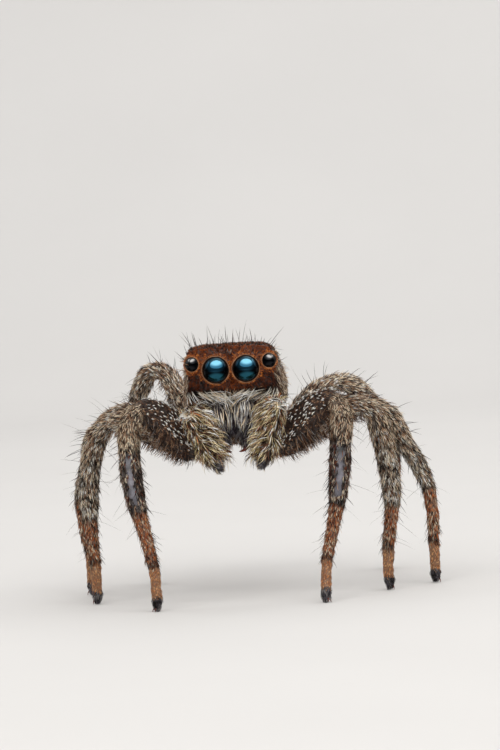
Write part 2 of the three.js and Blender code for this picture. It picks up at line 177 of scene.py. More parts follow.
# Hairs, flecks and spines that stand out of the coats: how many in a square mm, shortest and longest in
# mm, width in mm, least and most lift off the skin and how much of it they lose by the tip, in degrees,
# and the colours, each as likely as the next.
STRAYS = {
    # The femur flecks are mostly the brightened fleck colour, a painted highlight.
    "femur flecks": (80, 0.08, 0.13, 0.032, 2, 8, 4, "fleck fleck white"),
    "femur fringe": (150, 0.22, 0.42, 0.017, 40, 75, 30, "brown tan grey soot dark"),
    "leg locks": (50, 0.2, 0.36, 0.018, 16, 38, 20, "cream tan brown soot black"),
    "knee locks": (110, 0.16, 0.3, 0.02, 14, 34, 24, "cream tan cream"),
    "front shin locks": (30, 0.2, 0.34, 0.017, 24, 44, 20, "chestnut tan soot grey"),
    "lower leg locks": (44, 0.18, 0.3, 0.016, 22, 40, 16, "soot tan black"),
    "shin fringe": (20, 0.26, 0.42, 0.02, 26, 44, 16, "black soot"),
    "knee bristles": (9, 0.4, 0.75, 0.019, 54, 80, 14, "black soot"),
    "shin spines": (3, 0.3, 0.5, 0.024, 34, 56, 10, "black soot"),
    "leg feelers": (2.6, 0.5, 1.0, 0.009, 50, 78, 10, "soot grey dark"),
    "crown bristles": (26, 0.3, 0.8, 0.019, 62, 88, 8, "black soot dark"),
    "temple bristles": (14, 0.25, 0.55, 0.016, 36, 70, 10, "black soot dark tan"),
    "cheek locks": (40, 0.2, 0.4, 0.018, 24, 48, 20, "cream tan grey"),
    "bib": (140, 0.5, 0.9, 0.029, 10, 34, 36, "white white white cream"),
    "tuft between the eyes": (420, 0.12, 0.2, 0.014, 30, 60, 10, "cream white grey"),
    "back bristles": (5, 0.2, 0.5, 0.015, 50, 84, 12, "black soot"),
    "flank locks": (30, 0.2, 0.4, 0.018, 24, 48, 20, "cream tan grey"),
    "palp locks": (150, 0.3, 0.52, 0.021, 30, 66, 70, "straw white olive straw tan brown soot"),
    "palp brush": (300, 0.42, 0.76, 0.021, 24, 64, 64, "straw white olive straw tan brown soot"),
    "amber palp hairs": (60, 0.3, 0.5, 0.024, 20, 50, 40, "amber tan orange olive"),
    "palp knee band": (190, 0.3, 0.46, 0.028, 12, 34, 50, "white cream white"),
    "palp feelers": (8, 0.4, 0.7, 0.014, 50, 80, 20, "soot grey"),
    "palp tip hairs": (60, 0.16, 0.28, 0.016, 20, 46, 20, "grey slate cream"),
    "jaw locks": (110, 0.22, 0.4, 0.016, 14, 40, 24, "grey steel slate slate"),
    "jaw bib": (130, 0.4, 0.7, 0.026, 8, 28, 26, "white cream white cream grey"),
    "abdomen locks": (26, 0.36, 0.6, 0.018, 24, 46, 20, "cream tan soot brown"),
    "abdomen feelers": (2, 0.5, 0.8, 0.014, 50, 75, 14, "black soot"),
}


def shades(names):
    return np.array([PALETTE[name] for name in names])


# ---------------------------------------- the CAD's own shapes

SEGMENTS = ("femur", "patella", "tibia", "metatarsus", "tarsus")
RING_POINTS = 10


def node_box(name):
    """The corners of a CAD node's box in mm in the animal's frame."""
    return [np.array(corner) / MM - BODY_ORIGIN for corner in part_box(name)]


def read_mesh(mesh):
    """A mesh's points, triangles and edges."""
    def read(items, field, width, kind):
        values = np.empty(len(items) * width, kind)
        items.foreach_get(field, values)
        return values.reshape(-1, width)

    mesh.calc_loop_triangles()
    points = read(mesh.vertices, "co", 3, np.float32).astype(float)
    triangles = read(mesh.loop_triangles, "vertices", 3, np.int32)
    return points, triangles, read(mesh.edges, "vertices", 2, np.int32)


def node_mesh(name):
    """A CAD node's points in mm in the animal's frame, each once, and its triangles."""
    points, triangles, _ = read_mesh(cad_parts[name].data)
    points = points / MM - BODY_ORIGIN
    _, first, place = np.unique(np.round(points, 3), axis=0, return_index=True, return_inverse=True)
    triangles = place.ravel()[triangles]
    whole = [len(set(t)) == 3 for t in triangles.tolist()]
    return points[first], triangles[whole]


def joined(shapes):
    """Shapes as one set of points and triangles, and the number of the shape of each triangle."""
    shapes = list(shapes)
    starts = np.cumsum([0] + [len(points) for points, _ in shapes])
    points = np.vstack([points for points, _ in shapes])
    triangles = np.vstack([triangles + start for (_, triangles), start in zip(shapes, starts)])
    return points, triangles, np.repeat(np.arange(len(shapes)), [len(shape[1]) for shape in shapes])


def rings_from(name, nearness):
    """The rings of points of a CAD limb piece, one after another, starting with the nearest."""
    points, triangles = node_mesh(name)
    beside = [set() for _ in points]
    for a, b, c in triangles.tolist():
        beside[a] |= {b, c}
        beside[b] |= {a, c}
        beside[c] |= {a, b}
    ring = set(np.argsort(nearness(points))[:RING_POINTS].tolist())
    seen = set(ring)
    rings = []
    while ring:
        rings.append(points[sorted(ring)])
        ring = set().union(*(beside[i] for i in ring)) - seen
        seen |= ring
    return rings


def directions(centres, forward):
    """The ways along a limb, to its front and to its top, at each of its centres."""
    along = unit(np.gradient(centres, axis=0))
    front = in_plane(np.broadcast_to(forward, along.shape), along)
    return along, front, np.cross(front, along)


class Limb:
    """A leg or a palp as a smooth row of cross-sections. mark counts its segments: 2.5 is the middle of
    the third. front and top are the directions of its two half sizes."""

    STEP = 0.05
    SOFTEN = 0.13
    THINNEST = 0.06
    TUBE_SIDES = 28
    AT_ONCE = 4096

    def __init__(self, name, side, centres, half, marks, forward):
        self.name, self.side = name, side
        run = run_along(centres)
        steps = np.arange(0, run[-1], self.STEP)
        table = np.column_stack([centres, half, marks])
        fine = self.softened(np.column_stack([np.interp(steps, run, column) for column in table.T]))
        self.centre, self.half, self.mark = fine[:, :3], fine[:, 3:5], fine[:, 5]
        self.along, self.front, top = directions(self.centre, forward)
        self.top = top * side

    def softened(self, table):
        """Rounds the corners of a table of values, and leaves its two ends where they are."""
        reach = int(3 * self.SOFTEN / self.STEP)
        head = 2 * table[0] - table[reach:0:-1]
        foot = 2 * table[-1] - table[-2 : -reach - 2 : -1]
        kernel = np.exp(-0.5 * (np.arange(-reach, reach + 1) * self.STEP / self.SOFTEN) ** 2)
        long = np.vstack([head, table, foot])
        return np.column_stack([np.convolve(column, kernel / kernel.sum(), "valid") for column in long.T])

    def surface(self, shrink):
        """A closed tube through the sections, shrunk by the depth of the coat."""
        angle = full_turn(self.TUBE_SIDES)
        size = np.maximum(self.half - shrink[:, None], self.THINNEST)
        return closed_tube(
            self.centre[:, None]
            + self.top[:, None] * (np.cos(angle)[None] * size[:, 1:])[..., None]
            + self.front[:, None] * (np.sin(angle)[None] * size[:, :1])[..., None]
        )

    def place(self, points):
        """For each point: the nearest section, and the angle round it from the top towards the front."""
        nearest = np.empty(len(points), int)
        for at in range(0, len(points), self.AT_ONCE):
            far = np.linalg.norm(points[at : at + self.AT_ONCE, None] - self.centre[None], axis=2)
            nearest[at : at + self.AT_ONCE] = np.argmin(far, axis=1)
        out = points - self.centre[nearest]
        return nearest, np.arctan2(dot(out, self.front[nearest]), dot(out, self.top[nearest]))


def grid_corners(rings, sides):
    """For each cell of a grid that closes on itself sideways: its own corner and the next one."""
    start = np.arange(rings)[:, None] * sides
    return (start + np.arange(sides)).ravel(), (start + (np.arange(sides) + 1) % sides).ravel()


def closed_tube(rim):
    """Points and triangles of a tube through rings of equal size, closed at both ends, facing out."""
    rings, sides = rim.shape[:2]
    points = np.vstack([rim.reshape(-1, 3), rim[0].mean(0), rim[-1].mean(0)])
    a, b = grid_corners(rings - 1, sides)
    first, second = grid_corners(1, sides)
    last = (rings - 1) * sides
    head, foot = rings * sides, rings * sides + 1
    triangles = np.vstack([
        np.column_stack([a, b, b + sides]),
        np.column_stack([a, b + sides, a + sides]),
        np.column_stack([second, first, np.full(sides, head)]),
        np.column_stack([first + last, second + last, np.full(sides, foot)]),
    ])
    return points, facing_out(points, triangles)


def facing_out(points, triangles):
    a, b, c = (points[triangles[:, i]] for i in range(3))
    return triangles[:, ::-1] if dot(a, np.cross(b, c)).sum() < 0 else triangles


def leg(pair, side):
    """A leg read from the rings of its five CAD pieces, which are walked from the sole up to the hip."""
    centres, rims, marks = [], [], []
    nearness = lambda points: points[:, 2]
    for index in reversed(range(len(SEGMENTS))):
        rings = rings_from(f"leg_{pair}_{side}_{SEGMENTS[index]}", nearness)
        middles = np.array([ring.mean(0) for ring in rings])
        run = run_along(middles)
        centres = list(middles[::-1]) + centres
        rims = rings[::-1] + rims
        marks = list(index + (1 - run / run[-1])[::-1]) + marks
        nearness = lambda points, joint=middles[-1]: np.linalg.norm(points - joint, axis=1)
    centres = np.array(centres)
    knee = centres[np.searchsorted(marks, 1)]
    forward = unit(np.cross(knee - centres[0], UP))
    forward *= -np.sign(forward[1])
    _, front, top = directions(centres, forward)
    wide = [np.abs((rim - c) @ f).max() for rim, c, f in zip(rims, centres, front)]
    high = [np.abs((rim - c) @ t).max() for rim, c, t in zip(rims, centres, top)]
    half = np.column_stack([np.array(wide) / math.cos(math.pi / RING_POINTS), high])
    return Limb(f"leg_{pair}_{side}", SIDES[side], centres, half, np.array(marks), forward)


# A palp's arm runs forwards from the mouth to its knee and its hand hangs down: places in mm on the
# left side, held a little differently on each side. Then half its thickness without the coat and how
# much broader it is than thick, at marks along it.
PALP_ROOT = (0.76, 0.76, 4.86)
PALP_POSE = {
    "right": ((1.18, -0.28, 5.8), (0.9, -0.56, 4.96), (0.44, -0.72, 4.0)),
    "left": ((1.24, -0.32, 5.98), (1.1, -0.6, 5.05), (0.76, -0.74, 4.02)),
}
PALP_HALF = ((0.0, 0.13), (0.6, 0.14), (1.0, 0.165), (1.5, 0.15), (1.8, 0.165), (2.0, 0.1))
PALP_BREADTH = ((0.0, 1.0), (0.8, 1.2), (1.1, 1.9), (1.6, 2.0), (1.85, 1.3), (2.0, 1.0))
PALP_STEPS = 9


def palp(side):
    sign = SIDES[side]
    root, knee, shin, tip = (np.array(p) * (sign, 1, 1) for p in (PALP_ROOT, *PALP_POSE[side]))
    t = np.linspace(0, 1, PALP_STEPS)[:, None]
    arm = root + (knee - root) * t
    hand = knee * (1 - t) ** 2 + shin * 2 * t * (1 - t) + tip * t**2
    marks = np.r_[t.ravel(), 1 + t.ravel()[1:]]
    half = np.interp(marks, *zip(*PALP_HALF))
    broad = half * np.interp(marks, *zip(*PALP_BREADTH))
    aside = unit(np.array([-sign, 0.2, 0.0]))
    centres = np.vstack([arm, hand[1:]])
    return Limb(f"palp_{side}", sign, centres, np.column_stack([broad, half]), marks, aside)


LEGS = [leg(pair, side) for pair in (1, 2, 3, 4) for side in SIDES]
PALPS = [palp(side) for side in SIDES]
LIMBS = LEGS + PALPS

# How much bigger a lens is than its CAD ball, which leaves room for the socket.
LENS_GROWTH = 1.03
# Each kind of eye: the way it looks on the left side; how far ahead of its middle the raised rim of skin
# round it sits, and the rim's thickness, in mm; and the ring of scales round it: how many, how long in mm
# and their colours.
EYE_KINDS = {
    "front_middle": ((0.04, -1.0, 0.02), 0.165, 0.018, 300, 0.05, "ember copper rust cocoa"),
    "front_side": ((0.34, -1.0, 0.06), 0.135, 0.016, 200, 0.045, "ember copper rust"),
    "back_small": ((1.0, -0.25, 0.35), 0.03, 0.014, 50, 0.04, "rust dark"),
    "back_side": ((1.0, 0.35, 0.45), 0.06, 0.024, 90, 0.06, "rust chestnut dark"),
}


class Eye:
    """A lens and the rim round it: its centre, sizes and the ways ahead of it, across it and up it."""

    def __init__(self, name, side):
        self.name, self.side = name, side
        low, high = node_box(f"eye_{name}_{side}")
        way, self.ahead, self.thickness, *self.scales = EYE_KINDS[name]
        self.centre = (low + high) / 2
        self.radius = (high - low).max() / 2 * LENS_GROWTH
        self.axis = unit(np.array(way) * (SIDES[side], 1, 1))
        self.across = unit(np.cross(self.axis, UP))
        self.up = np.cross(self.across, self.axis)
        self.rim = math.sqrt(self.radius**2 - self.ahead**2)

    def hoop(self, out, around, section):
        """A closed ring of round section round the lens, out of it by a share of the rim's thickness."""
        turn = full_turn(section)
        middle = self.centre + self.axis * self.ahead
        away = self.rim + self.thickness * out + self.thickness * np.cos(turn)
        points = (
            middle
            + circle(full_turn(around), self.across, self.up)[:, None] * away[None, :, None]
            + self.axis * (self.thickness * np.sin(turn))[None, :, None]
        ).reshape(-1, 3)
        a, b = grid_corners(around, section)
        after_a, after_b = ((i + section) % len(points) for i in (a, b))
        triangles = np.vstack([np.column_stack([a, b, after_b]), np.column_stack([a, after_b, after_a])])
        return points, facing_out(points - middle, triangles)


EYES = [Eye(name, side) for name in EYE_KINDS for side in SIDES]
FRONT_EYES = EYES[:4]


# ---------------------------------------- Blender meshes

def make_object(name, points, faces, smooth=True):
    """A mesh object from points as they are and an array of faces, all with the same number of corners."""
    mesh = bpy.data.meshes.new(name)
    faces = np.ascontiguousarray(faces, np.int32)
    mesh.vertices.add(len(points))
    mesh.vertices.foreach_set("co", np.ascontiguousarray(points, np.float32).ravel())
    mesh.loops.add(faces.size)
    mesh.loops.foreach_set("vertex_index", faces.ravel())
    mesh.polygons.add(len(faces))
    mesh.polygons.foreach_set("loop_start", np.arange(0, faces.size, faces.shape[1], dtype=np.int32))
    mesh.update(calc_edges=True)
    if smooth:
        mesh.shade_smooth()
    return linked(name, mesh)


def linked(name, data):
    """An object in the scene that holds a mesh, a light or a camera."""
    made = bpy.data.objects.new(name, data)
    bpy.context.scene.collection.objects.link(made)
    return made


def vertex_normals(points, triangles):
    a, b, c = (points[triangles[:, i]] for i in range(3))
    face = np.cross(b - a, c - a)
    return unit(np.column_stack([
        sum(np.bincount(triangles[:, i], face[:, axis], len(points)) for i in range(3)) for axis in range(3)
    ]))


def paint(made, colours, finish=None):
    """Gives a piece a colour for each of its points and, where its material asks for one, a finish."""
    for name, values in (("Color", colours), ("Finish", finish)):
        if values is not None:
            layer = made.data.color_attributes.new(name, "FLOAT_COLOR", "POINT")
            rgba = np.ones((len(made.data.vertices), 4), np.float32)
            rgba[:, :3] = values
            layer.data.foreach_set("color", rgba.ravel())


# ---------------------------------------- the skin's shape

VOXEL = 0.06
BRIDGE = 0.025
SOLE = 0.01
HIP_SIZE = 0.86
SOCKET_SIZE = 0.97
# How deep the coat is: on the legs at marks along them, and on the body, in mm.
LEG_COAT = ((0.0, 0.07), (1.0, 0.06), (3.0, 0.06), (4.0, 0.09), (4.7, 0.1), (4.85, 0.14), (5.0, 0.2))
BODY_COAT = {"carapace": 0.03, "abdomen": 0.13, "underbody": 0.06, "jaw": 0.06}
BODY_NODES = ["carapace", "abdomen", "pedicel", "spinnerets", "underbody", "jaw_left", "jaw_right"]
FLESH = BODY_NODES + [f"palp_{side}" for side in SIDES]
FLESH += [f"leg_{pair}_{side}_{segment}" for pair in (1, 2, 3, 4) for side in SIDES for segment in SEGMENTS]
# Where the skin lies under a lens, as a share of its radius; how far under the rim it lies beside the
# lens, in mm; and how far from the axis it is held down, as a share of the radius.
LENS_BACKING = 0.93
UNDER_RIM = 0.008
HELD_DOWN = 1.35


def ball(centre, radius, around=20, down=12):
    angle = full_turn(around)
    height = np.pi * (np.arange(1, down) / down)[:, None]
    ways = (np.cos(angle) * np.sin(height), np.sin(angle) * np.sin(height), np.cos(height) + 0 * angle)
    return closed_tube(centre + radius * np.stack(ways, axis=2))


def skin_parts():
    """The closed shapes that melt together into the skin."""
    for node in BODY_NODES:
        points, triangles = node_mesh(node)
        yield points + vertex_normals(points, triangles) * BRIDGE, triangles
    for limb in LEGS:
        yield limb.surface(np.interp(limb.mark, *zip(*LEG_COAT)))
        yield ball(limb.centre[0], limb.half[0].min() * HIP_SIZE)
    for limb in PALPS:
        yield limb.surface(np.zeros(len(limb.mark)))
    for eye in EYES:
        yield ball(eye.centre, eye.radius * SOCKET_SIZE, 28, 18)
        yield eye.hoop(0.9, 48, 10)


def melted():
    """One closed quad mesh round all the skin's parts."""
    points, triangles, _ = joined(skin_parts())
    rough = make_object("rough_skin", points, triangles, smooth=False)
    remesh = rough.modifiers.new("melt", "REMESH")
    remesh.mode = "VOXEL"
    remesh.voxel_size = VOXEL
    mesh = bpy.data.meshes.new_from_object(rough.evaluated_get(bpy.context.evaluated_depsgraph_get()))
    bpy.data.objects.remove(rough)
    return mesh


def eased(points, edges, weight, rounds, pull=0.5, push=-0.52):
    """Smooths points along the edges between them, without shrinking what they enclose."""
    count = np.bincount(edges.ravel(), minlength=len(points))[:, None]
    for _ in range(rounds):
        for step in (pull, push):
            total = np.column_stack([
                np.bincount(edges[:, 0], points[edges[:, 1], axis], len(points))
                + np.bincount(edges[:, 1], points[edges[:, 0], axis], len(points))
                for axis in range(3)
            ])
            points = points + weight[:, None] * step * (total / count - points)
    return points


def of_node(places, *starts):
    """Which places belong to CAD pieces whose names start with these."""
    return np.isin(places.node, [i for i, node in enumerate(FLESH) if node.startswith(starts)])


def on_leg(places, count=len(LEGS)):
    """Which places are on the first legs, up to a number of them."""
    return (places.limb >= 0) & (places.limb < count)


def on_palp(places):
    return places.limb >= len(LEGS)


class Skin:
    """The skin's points with, for each, what the coat and the colours need to know about its place."""

    def __init__(self):
        self.mesh = melted()
        self.points, self.triangles, edges = read_mesh(self.mesh)
        self.find_nodes()
        clear = np.ones(len(self.points))
        for eye in EYES:
            away = np.linalg.norm(self.points - eye.centre, axis=1) - eye.radius
            clear = np.minimum(clear, ramp(0.03, 0.2, away))
        self.points = eased(self.points, edges, 0.5 + 0.5 * clear, 4)
        self.points = eased(self.points, edges, (self.limb < 0) * clear, 5)
        self.push(-self.coat_depth() * clear)
        self.points = eased(self.points, edges, np.full(len(self.points), 0.8), 2)
        # Small unevenness of the cuticle.
        self.push(0.006 * ripple(self.points, 0.12, 11) + 0.004 * ripple(self.points, 0.06, 12))
        self.points[:, 2] = np.maximum(self.points[:, 2], SOLE)
        self.uncover_eyes()
        self.normals = vertex_normals(self.points, self.triangles)
        self.find_places()

    def push(self, distance):
        """Moves each point out along its normal."""
        self.points = self.points + vertex_normals(self.points, self.triangles) * distance[:, None]

    def uncover_eyes(self):
        """Holds the skin under each lens and under the rim round it."""
        for eye in EYES:
            ahead = (self.points - eye.centre) @ eye.axis
            across = np.linalg.norm(self.points - eye.centre - eye.axis * ahead[:, None], axis=1)
            under_lens = np.sqrt(np.maximum((eye.radius * LENS_BACKING) ** 2 - across**2, 0))
            most = np.where(across < 0.9 * eye.rim, under_lens, eye.ahead - UNDER_RIM)
            over = (across < eye.radius * HELD_DOWN) & (ahead > most)
            self.points[over] -= eye.axis * (ahead - most)[over, None]

    def find_nodes(self):
        """The CAD piece that each point belongs to, and the number of its limb, or -1."""
        points, triangles, owner = joined(node_mesh(node) for node in FLESH)
        tree = BVHTree.FromPolygons(points.tolist(), triangles.tolist())
        self.node = owner[[tree.find_nearest(Vector(p))[2] for p in self.points]]
        self.limb = np.full(len(self.points), -1)
        for index, limb in enumerate(LIMBS):
            self.limb[of_node(self, limb.name)] = index

    def coat_depth(self):
        depth = np.zeros(len(self.points))
        for node, amount in BODY_COAT.items():
            depth[of_node(self, node)] = amount + BRIDGE
        return depth

    def find_places(self):
        """For limb points: how far along and round the limb they are, and the way towards its end."""
        count = len(self.points)
        self.mark = np.zeros(count)
        self.angle = np.zeros(count)
        self.along = np.tile([0.0, 1.0, 0.0], (count, 1))
        for index, limb in enumerate(LIMBS):
            own = np.nonzero(self.limb == index)[0]
            nearest, self.angle[own] = limb.place(self.points[own])
            self.mark[own] = limb.mark[nearest]
            self.along[own] = limb.along[nearest]


skin = Skin()


# ---------------------------------------- where each coat grows

class Places:
    """Places on the skin: skin points, or the roots of hairs between them."""

    FIELDS = ("points", "normals", "node", "limb", "mark", "angle", "along")

    def __init__(self, source, chosen=slice(None)):
        for name in self.FIELDS:
            setattr(self, name, getattr(source, name)[chosen])

    def __len__(self):
        return len(self.points)

    def only(self, chosen):
        return Places(self, chosen)


EVERYWHERE = Places(skin)

# Where the coats of the head change: heights, widths and depths in mm, and tilts of the skin as the
# forward or upward part of its normal.
FACE_DEPTH = 0.6
FACE_TILT = -0.35
CROWN_TILT = 0.45
CLYPEUS_TOP = 6.44
JOWL_TOP = 6.98
JOWL_WIDTH = 0.62
JOWL_SLOPE = 0.5
BROW_REACH = 0.1
BROW_FROM = 6.72
NAPE_FROM = 2.45
NAPE_STREAK = 0.3
EYE_LINE_FROM = 0.9
EYE_LINE_TILT, EYE_LINE_HALF = 0.42, 0.13
# Where the coats of the limbs change, as marks, and how ragged the borders are.
TUFT_FROM = 4.66
RUSTY_TO = 3.42
PALP_TIP_FROM = 1.8
RAGGED = 0.03
# The abdomen's markings: how its middle line leans away from its front, how high its back starts, the
# pale band along each side, and where the pale front ends and the dark end starts.
ABDOMEN_LEAN = -0.07
ABDOMEN_FRONT = 4.5
BACK_FROM = 5.9
BAND_MIDDLE, BAND_HALF = 0.95, 0.12
PALE_TO, DARK_FROM = 5.1, 9.45
# The dark rings of the legs: the mark of the middle, and half the width; and how dark they are.
LEG_RINGS = ((3.93, 0.06), (2.97, 0.05), (1.96, 0.05))
RING_SHADE = 0.66


def coat_at(places, random=None):
    """The number of the coat that grows at each place. With random numbers its borders are ragged."""
    points, mark = places.points.copy(), places.mark.copy()
    if random is not None:
        points += random.normal(0, RAGGED, points.shape)
        mark += random.normal(0, RAGGED, mark.shape)
    coat = np.full(len(places), COAT_NUMBER["underside"])

    def lay(name, where):
        coat[where] = COAT_NUMBER[name]

    head_coats(points, places.normals, of_node(places, "carapace"), lay)
    abdomen_coats(points, of_node(places, "abdomen", "spinnerets"), lay)
    lay("jaw", of_node(places, "jaw"))
    lay("palp", on_palp(places))
    lay("palp_tip", on_palp(places) & (mark > PALP_TIP_FROM))
    for index, segment in enumerate(SEGMENTS):
        here = np.clip(mark, 0, 4.99).astype(int) == index
        lay(segment, here & on_leg(places))
        lay(f"{segment}_1", here & on_leg(places, 2))
    lay("rusty", on_leg(places) & (mark > 3) & (mark < RUSTY_TO))
    lay("tuft", on_leg(places) & (mark > TUFT_FROM))
    return coat


def head_coats(points, normals, here, lay):
    x, y, z = np.abs(points[:, 0]), points[:, 1], points[:, 2]
    from_each = [np.linalg.norm(points - eye.centre, axis=1) - eye.radius for eye in FRONT_EYES]
    from_eye = np.min(from_each, axis=0)
    facing = here & (normals[:, 1] < FACE_TILT) & (y < FACE_DEPTH)
    on_crown = here & (normals[:, 2] > CROWN_TILT)
    lay("cheek", here)
    lay("crown", on_crown)
    lay("nape", on_crown & (y > NAPE_FROM))
    lay("nape", on_crown & (x < NAPE_STREAK * ramp(1.5, 2.2, y)))
    lay("eye_line", here & (y > EYE_LINE_FROM) & (np.abs(normals[:, 2] - EYE_LINE_TILT) < EYE_LINE_HALF))
    lay("face", facing)
    lay("jowl", facing & (z < JOWL_TOP) & (x > JOWL_WIDTH + JOWL_SLOPE * (z - CLYPEUS_TOP)))
    lay("brow", facing & (from_eye < BROW_REACH) & (z > BROW_FROM))
    lay("clypeus", here & (y < FACE_DEPTH) & (z < CLYPEUS_TOP))


def abdomen_coats(points, here, lay):
    x, y, z = points.T
    side = np.abs(x - ABDOMEN_LEAN * (y - ABDOMEN_FRONT))
    chevron = np.sin((y + 0.9 * side) * 5.6)
    back = here & (z > BACK_FROM)
    lay("abdomen", here)
    lay("abdomen_dark", back & (side < 0.75) & (side > 0.16) & (chevron < 0.25))
    lay("abdomen_light", back & (side < 0.62) & (chevron > 0.62))
    lay("abdomen_light", here & (np.abs(side - BAND_MIDDLE) < BAND_HALF) & (z > 5.4))
    lay("abdomen_light", here & (y < PALE_TO) & (z > 5.2))
    lay("abdomen_dark", here & (y > DARK_FROM))


def tones_at(places, coat, level=None):
    """The colours of the coat at levels from 0, darkest, to 1, lightest, or its mean colour for the skin
    under it."""
    colours = np.zeros((len(places), 3))
    for number in np.unique(coat):
        here = coat == number
        words = COATS[COAT_NAMES[number]][-1].split()
        tones, shares = shades(words[::2]), np.array(words[1::2], float) / 100
        if level is None:
            colours[here] = shares @ tones
        else:
            ends = np.cumsum(shares)
            colours[here] = tones[np.searchsorted(ends, np.clip(level[here], 0, 0.999), side="right")]
    for middle, half in LEG_RINGS:
        ring = on_leg(places) * (1 - ramp(half * 0.6, half * 1.4, np.abs(places.mark - middle)))
        colours *= (1 - RING_SHADE * ring)[:, None]
    return colours


# The bare line of the first shins: the way it faces, where across the shin it starts and is full, as
# cosines, and the marks between which it fades in and out.
LINE_WAY = (0.0, -1.0, 0.25)
LINE_EDGE = (0.94, 0.985)
LINE_START, LINE_END = (2.04, 2.12), (2.78, 2.92)


def stripe(places):
    """1 on the middle of the bare glossy line down the front of the first shins, and 0 off it."""
    towards = in_plane(np.broadcast_to(LINE_WAY, places.points.shape), places.along)
    across = dot(unit(in_plane(places.normals, places.along)), towards)
    across += 0.012 * ripple(places.points, 0.16, 31)
    on_shin = ramp(*LINE_START, places.mark) * (1 - ramp(*LINE_END, places.mark))
    return ramp(*LINE_EDGE, across) * on_shin * on_leg(places, 2)


# ---------------------------------------- hairs

QUICK_SHARE = 1.0
# How deep a hair stands in the skin: at most this, in mm, and this share of its length.
ROOT_SINK = 0.01
SINK_SHARE = 0.06
# The size of a hair's patch on the map for baking.
PATCH = 0.003
# The size in mm of a clump of like hairs, how much of a hair's tone and lift it has from its clump, and
# how far the tones are spread apart.
CLUMP = 0.07
TONE_FROM_CLUMP = 0.55
LIFT_FROM_CLUMP = 0.5
CONTRAST = 1.575
# Broad drifts of tone and of turn, each as its size in mm and how strong it is, and how far a clump and a
# single hair turn aside, in radians.
TONE_DRIFT = (0.3, 0.1)
TURN_DRIFT = (0.4, 0.16)
CLUMP_TURN, HAIR_TURN = 0.3, 0.1
# The locks of a shaggy coat: their size in mm, and how far apart they swing.
LOCK_SIZE = 0.16
LOCK_SWING = 3.6
# Painted shade and highlight along each hair: how dark a hair is painted at its root, where the hairs lie in
# one another's shade, and how light at its tip, a painted highlight; and the palest that a hair may be.
ROOT_PAINTED_SHADE, TIP_PAINTED_HIGHLIGHT = 0.52, 1.85
PALEST = 0.92
EYE_CLEARANCE = 0.03
# How much more the hairs of the palps swirl.
PALP_SWIRL = 2.2
# The point below the face that the hairs of the clypeus run towards.
BIB_POINT = np.array([0.0, -0.6, 5.35])


def lie_at(places, coat):
    """The way the hairs point along the skin at each place."""
    points, normals = places.points, places.normals
    lie = places.along.copy()
    front = np.array([eye.centre for eye in EYES[:2]])
    away = unit(points - front[(points[:, 0] < 0).astype(int)])
    outward = np.sign(points[:, :1]) * (1.0, 0.0, 0.0)

    def comb(names, direction):
        here = np.isin(coat, [COAT_NUMBER[name] for name in names])
        lie[here] = np.broadcast_to(direction, lie.shape)[here]

    comb(("crown", "nape", "eye_line"), (0.0, 1.0, 0.1))
    comb(("face", "brow"), away - 0.25 * UP)
    comb(("jowl",), 0.5 * away + outward * 0.5 - UP)
    comb(("cheek",), (0.0, 0.75, -0.8))
    comb(("clypeus",), unit(BIB_POINT - points))
    comb(("jaw",), -UP - 0.3 * outward)
    comb(("underside",), np.array([0.0, 0.8, -0.2]) + outward * 0.6)
    comb(("abdomen", "abdomen_light", "abdomen_dark"), (0.0, 1.0, -0.12))
    aside = blend(0.3, -0.8, ramp(-0.5, 0.1, -dot(normals, outward)))
    palps = on_palp(places)
    lie[palps] = (places.along * 0.9 + outward * aside[:, None])[palps]
    return in_plane(lie, normals)


def turned(lie, normals, angle):
    """Directions turned within the skin by angles in radians."""
    return lie * np.cos(angle)[:, None] + np.cross(normals, lie) * np.sin(angle)[:, None]


def roots(faces, per_mm2, random):
    """Places spread evenly at random over some of the skin's triangles."""
    corners = skin.triangles[faces]
    a, b, c = (skin.points[corners[:, i]] for i in range(3))
    weight = np.linalg.norm(np.cross(b - a, c - a), axis=1) / 2 * per_mm2
    count = int(weight.sum())
    picked = np.searchsorted(np.cumsum(weight) / weight.sum(), random.random(count))
    corners = corners[np.minimum(picked, len(corners) - 1)]
    share = random.dirichlet((1, 1, 1), count)
    places = EVERYWHERE.only(corners[np.arange(count), np.argmax(share, axis=1)])
    places.points = np.einsum("ij,ijk->ik", share, skin.points[corners])
    places.normals = unit(np.einsum("ij,ijk->ik", share, skin.normals[corners]))
    return places


def over_eye(points):
    """Which points lie so close round an eye that a hair there would cover it."""
    near = [np.linalg.norm(points - eye.centre, axis=1) < eye.radius + EYE_CLEARANCE for eye in EYES]
    return np.any(near, axis=0)


def above_floor(places, lie, length):
    """Lengths cut so that hairs that point down end above the floor."""
    room = (places.points[:, 2] - SOLE) / np.maximum(-lie[:, 2], 0.05)
    return np.minimum(length, np.maximum(room, 0.03))


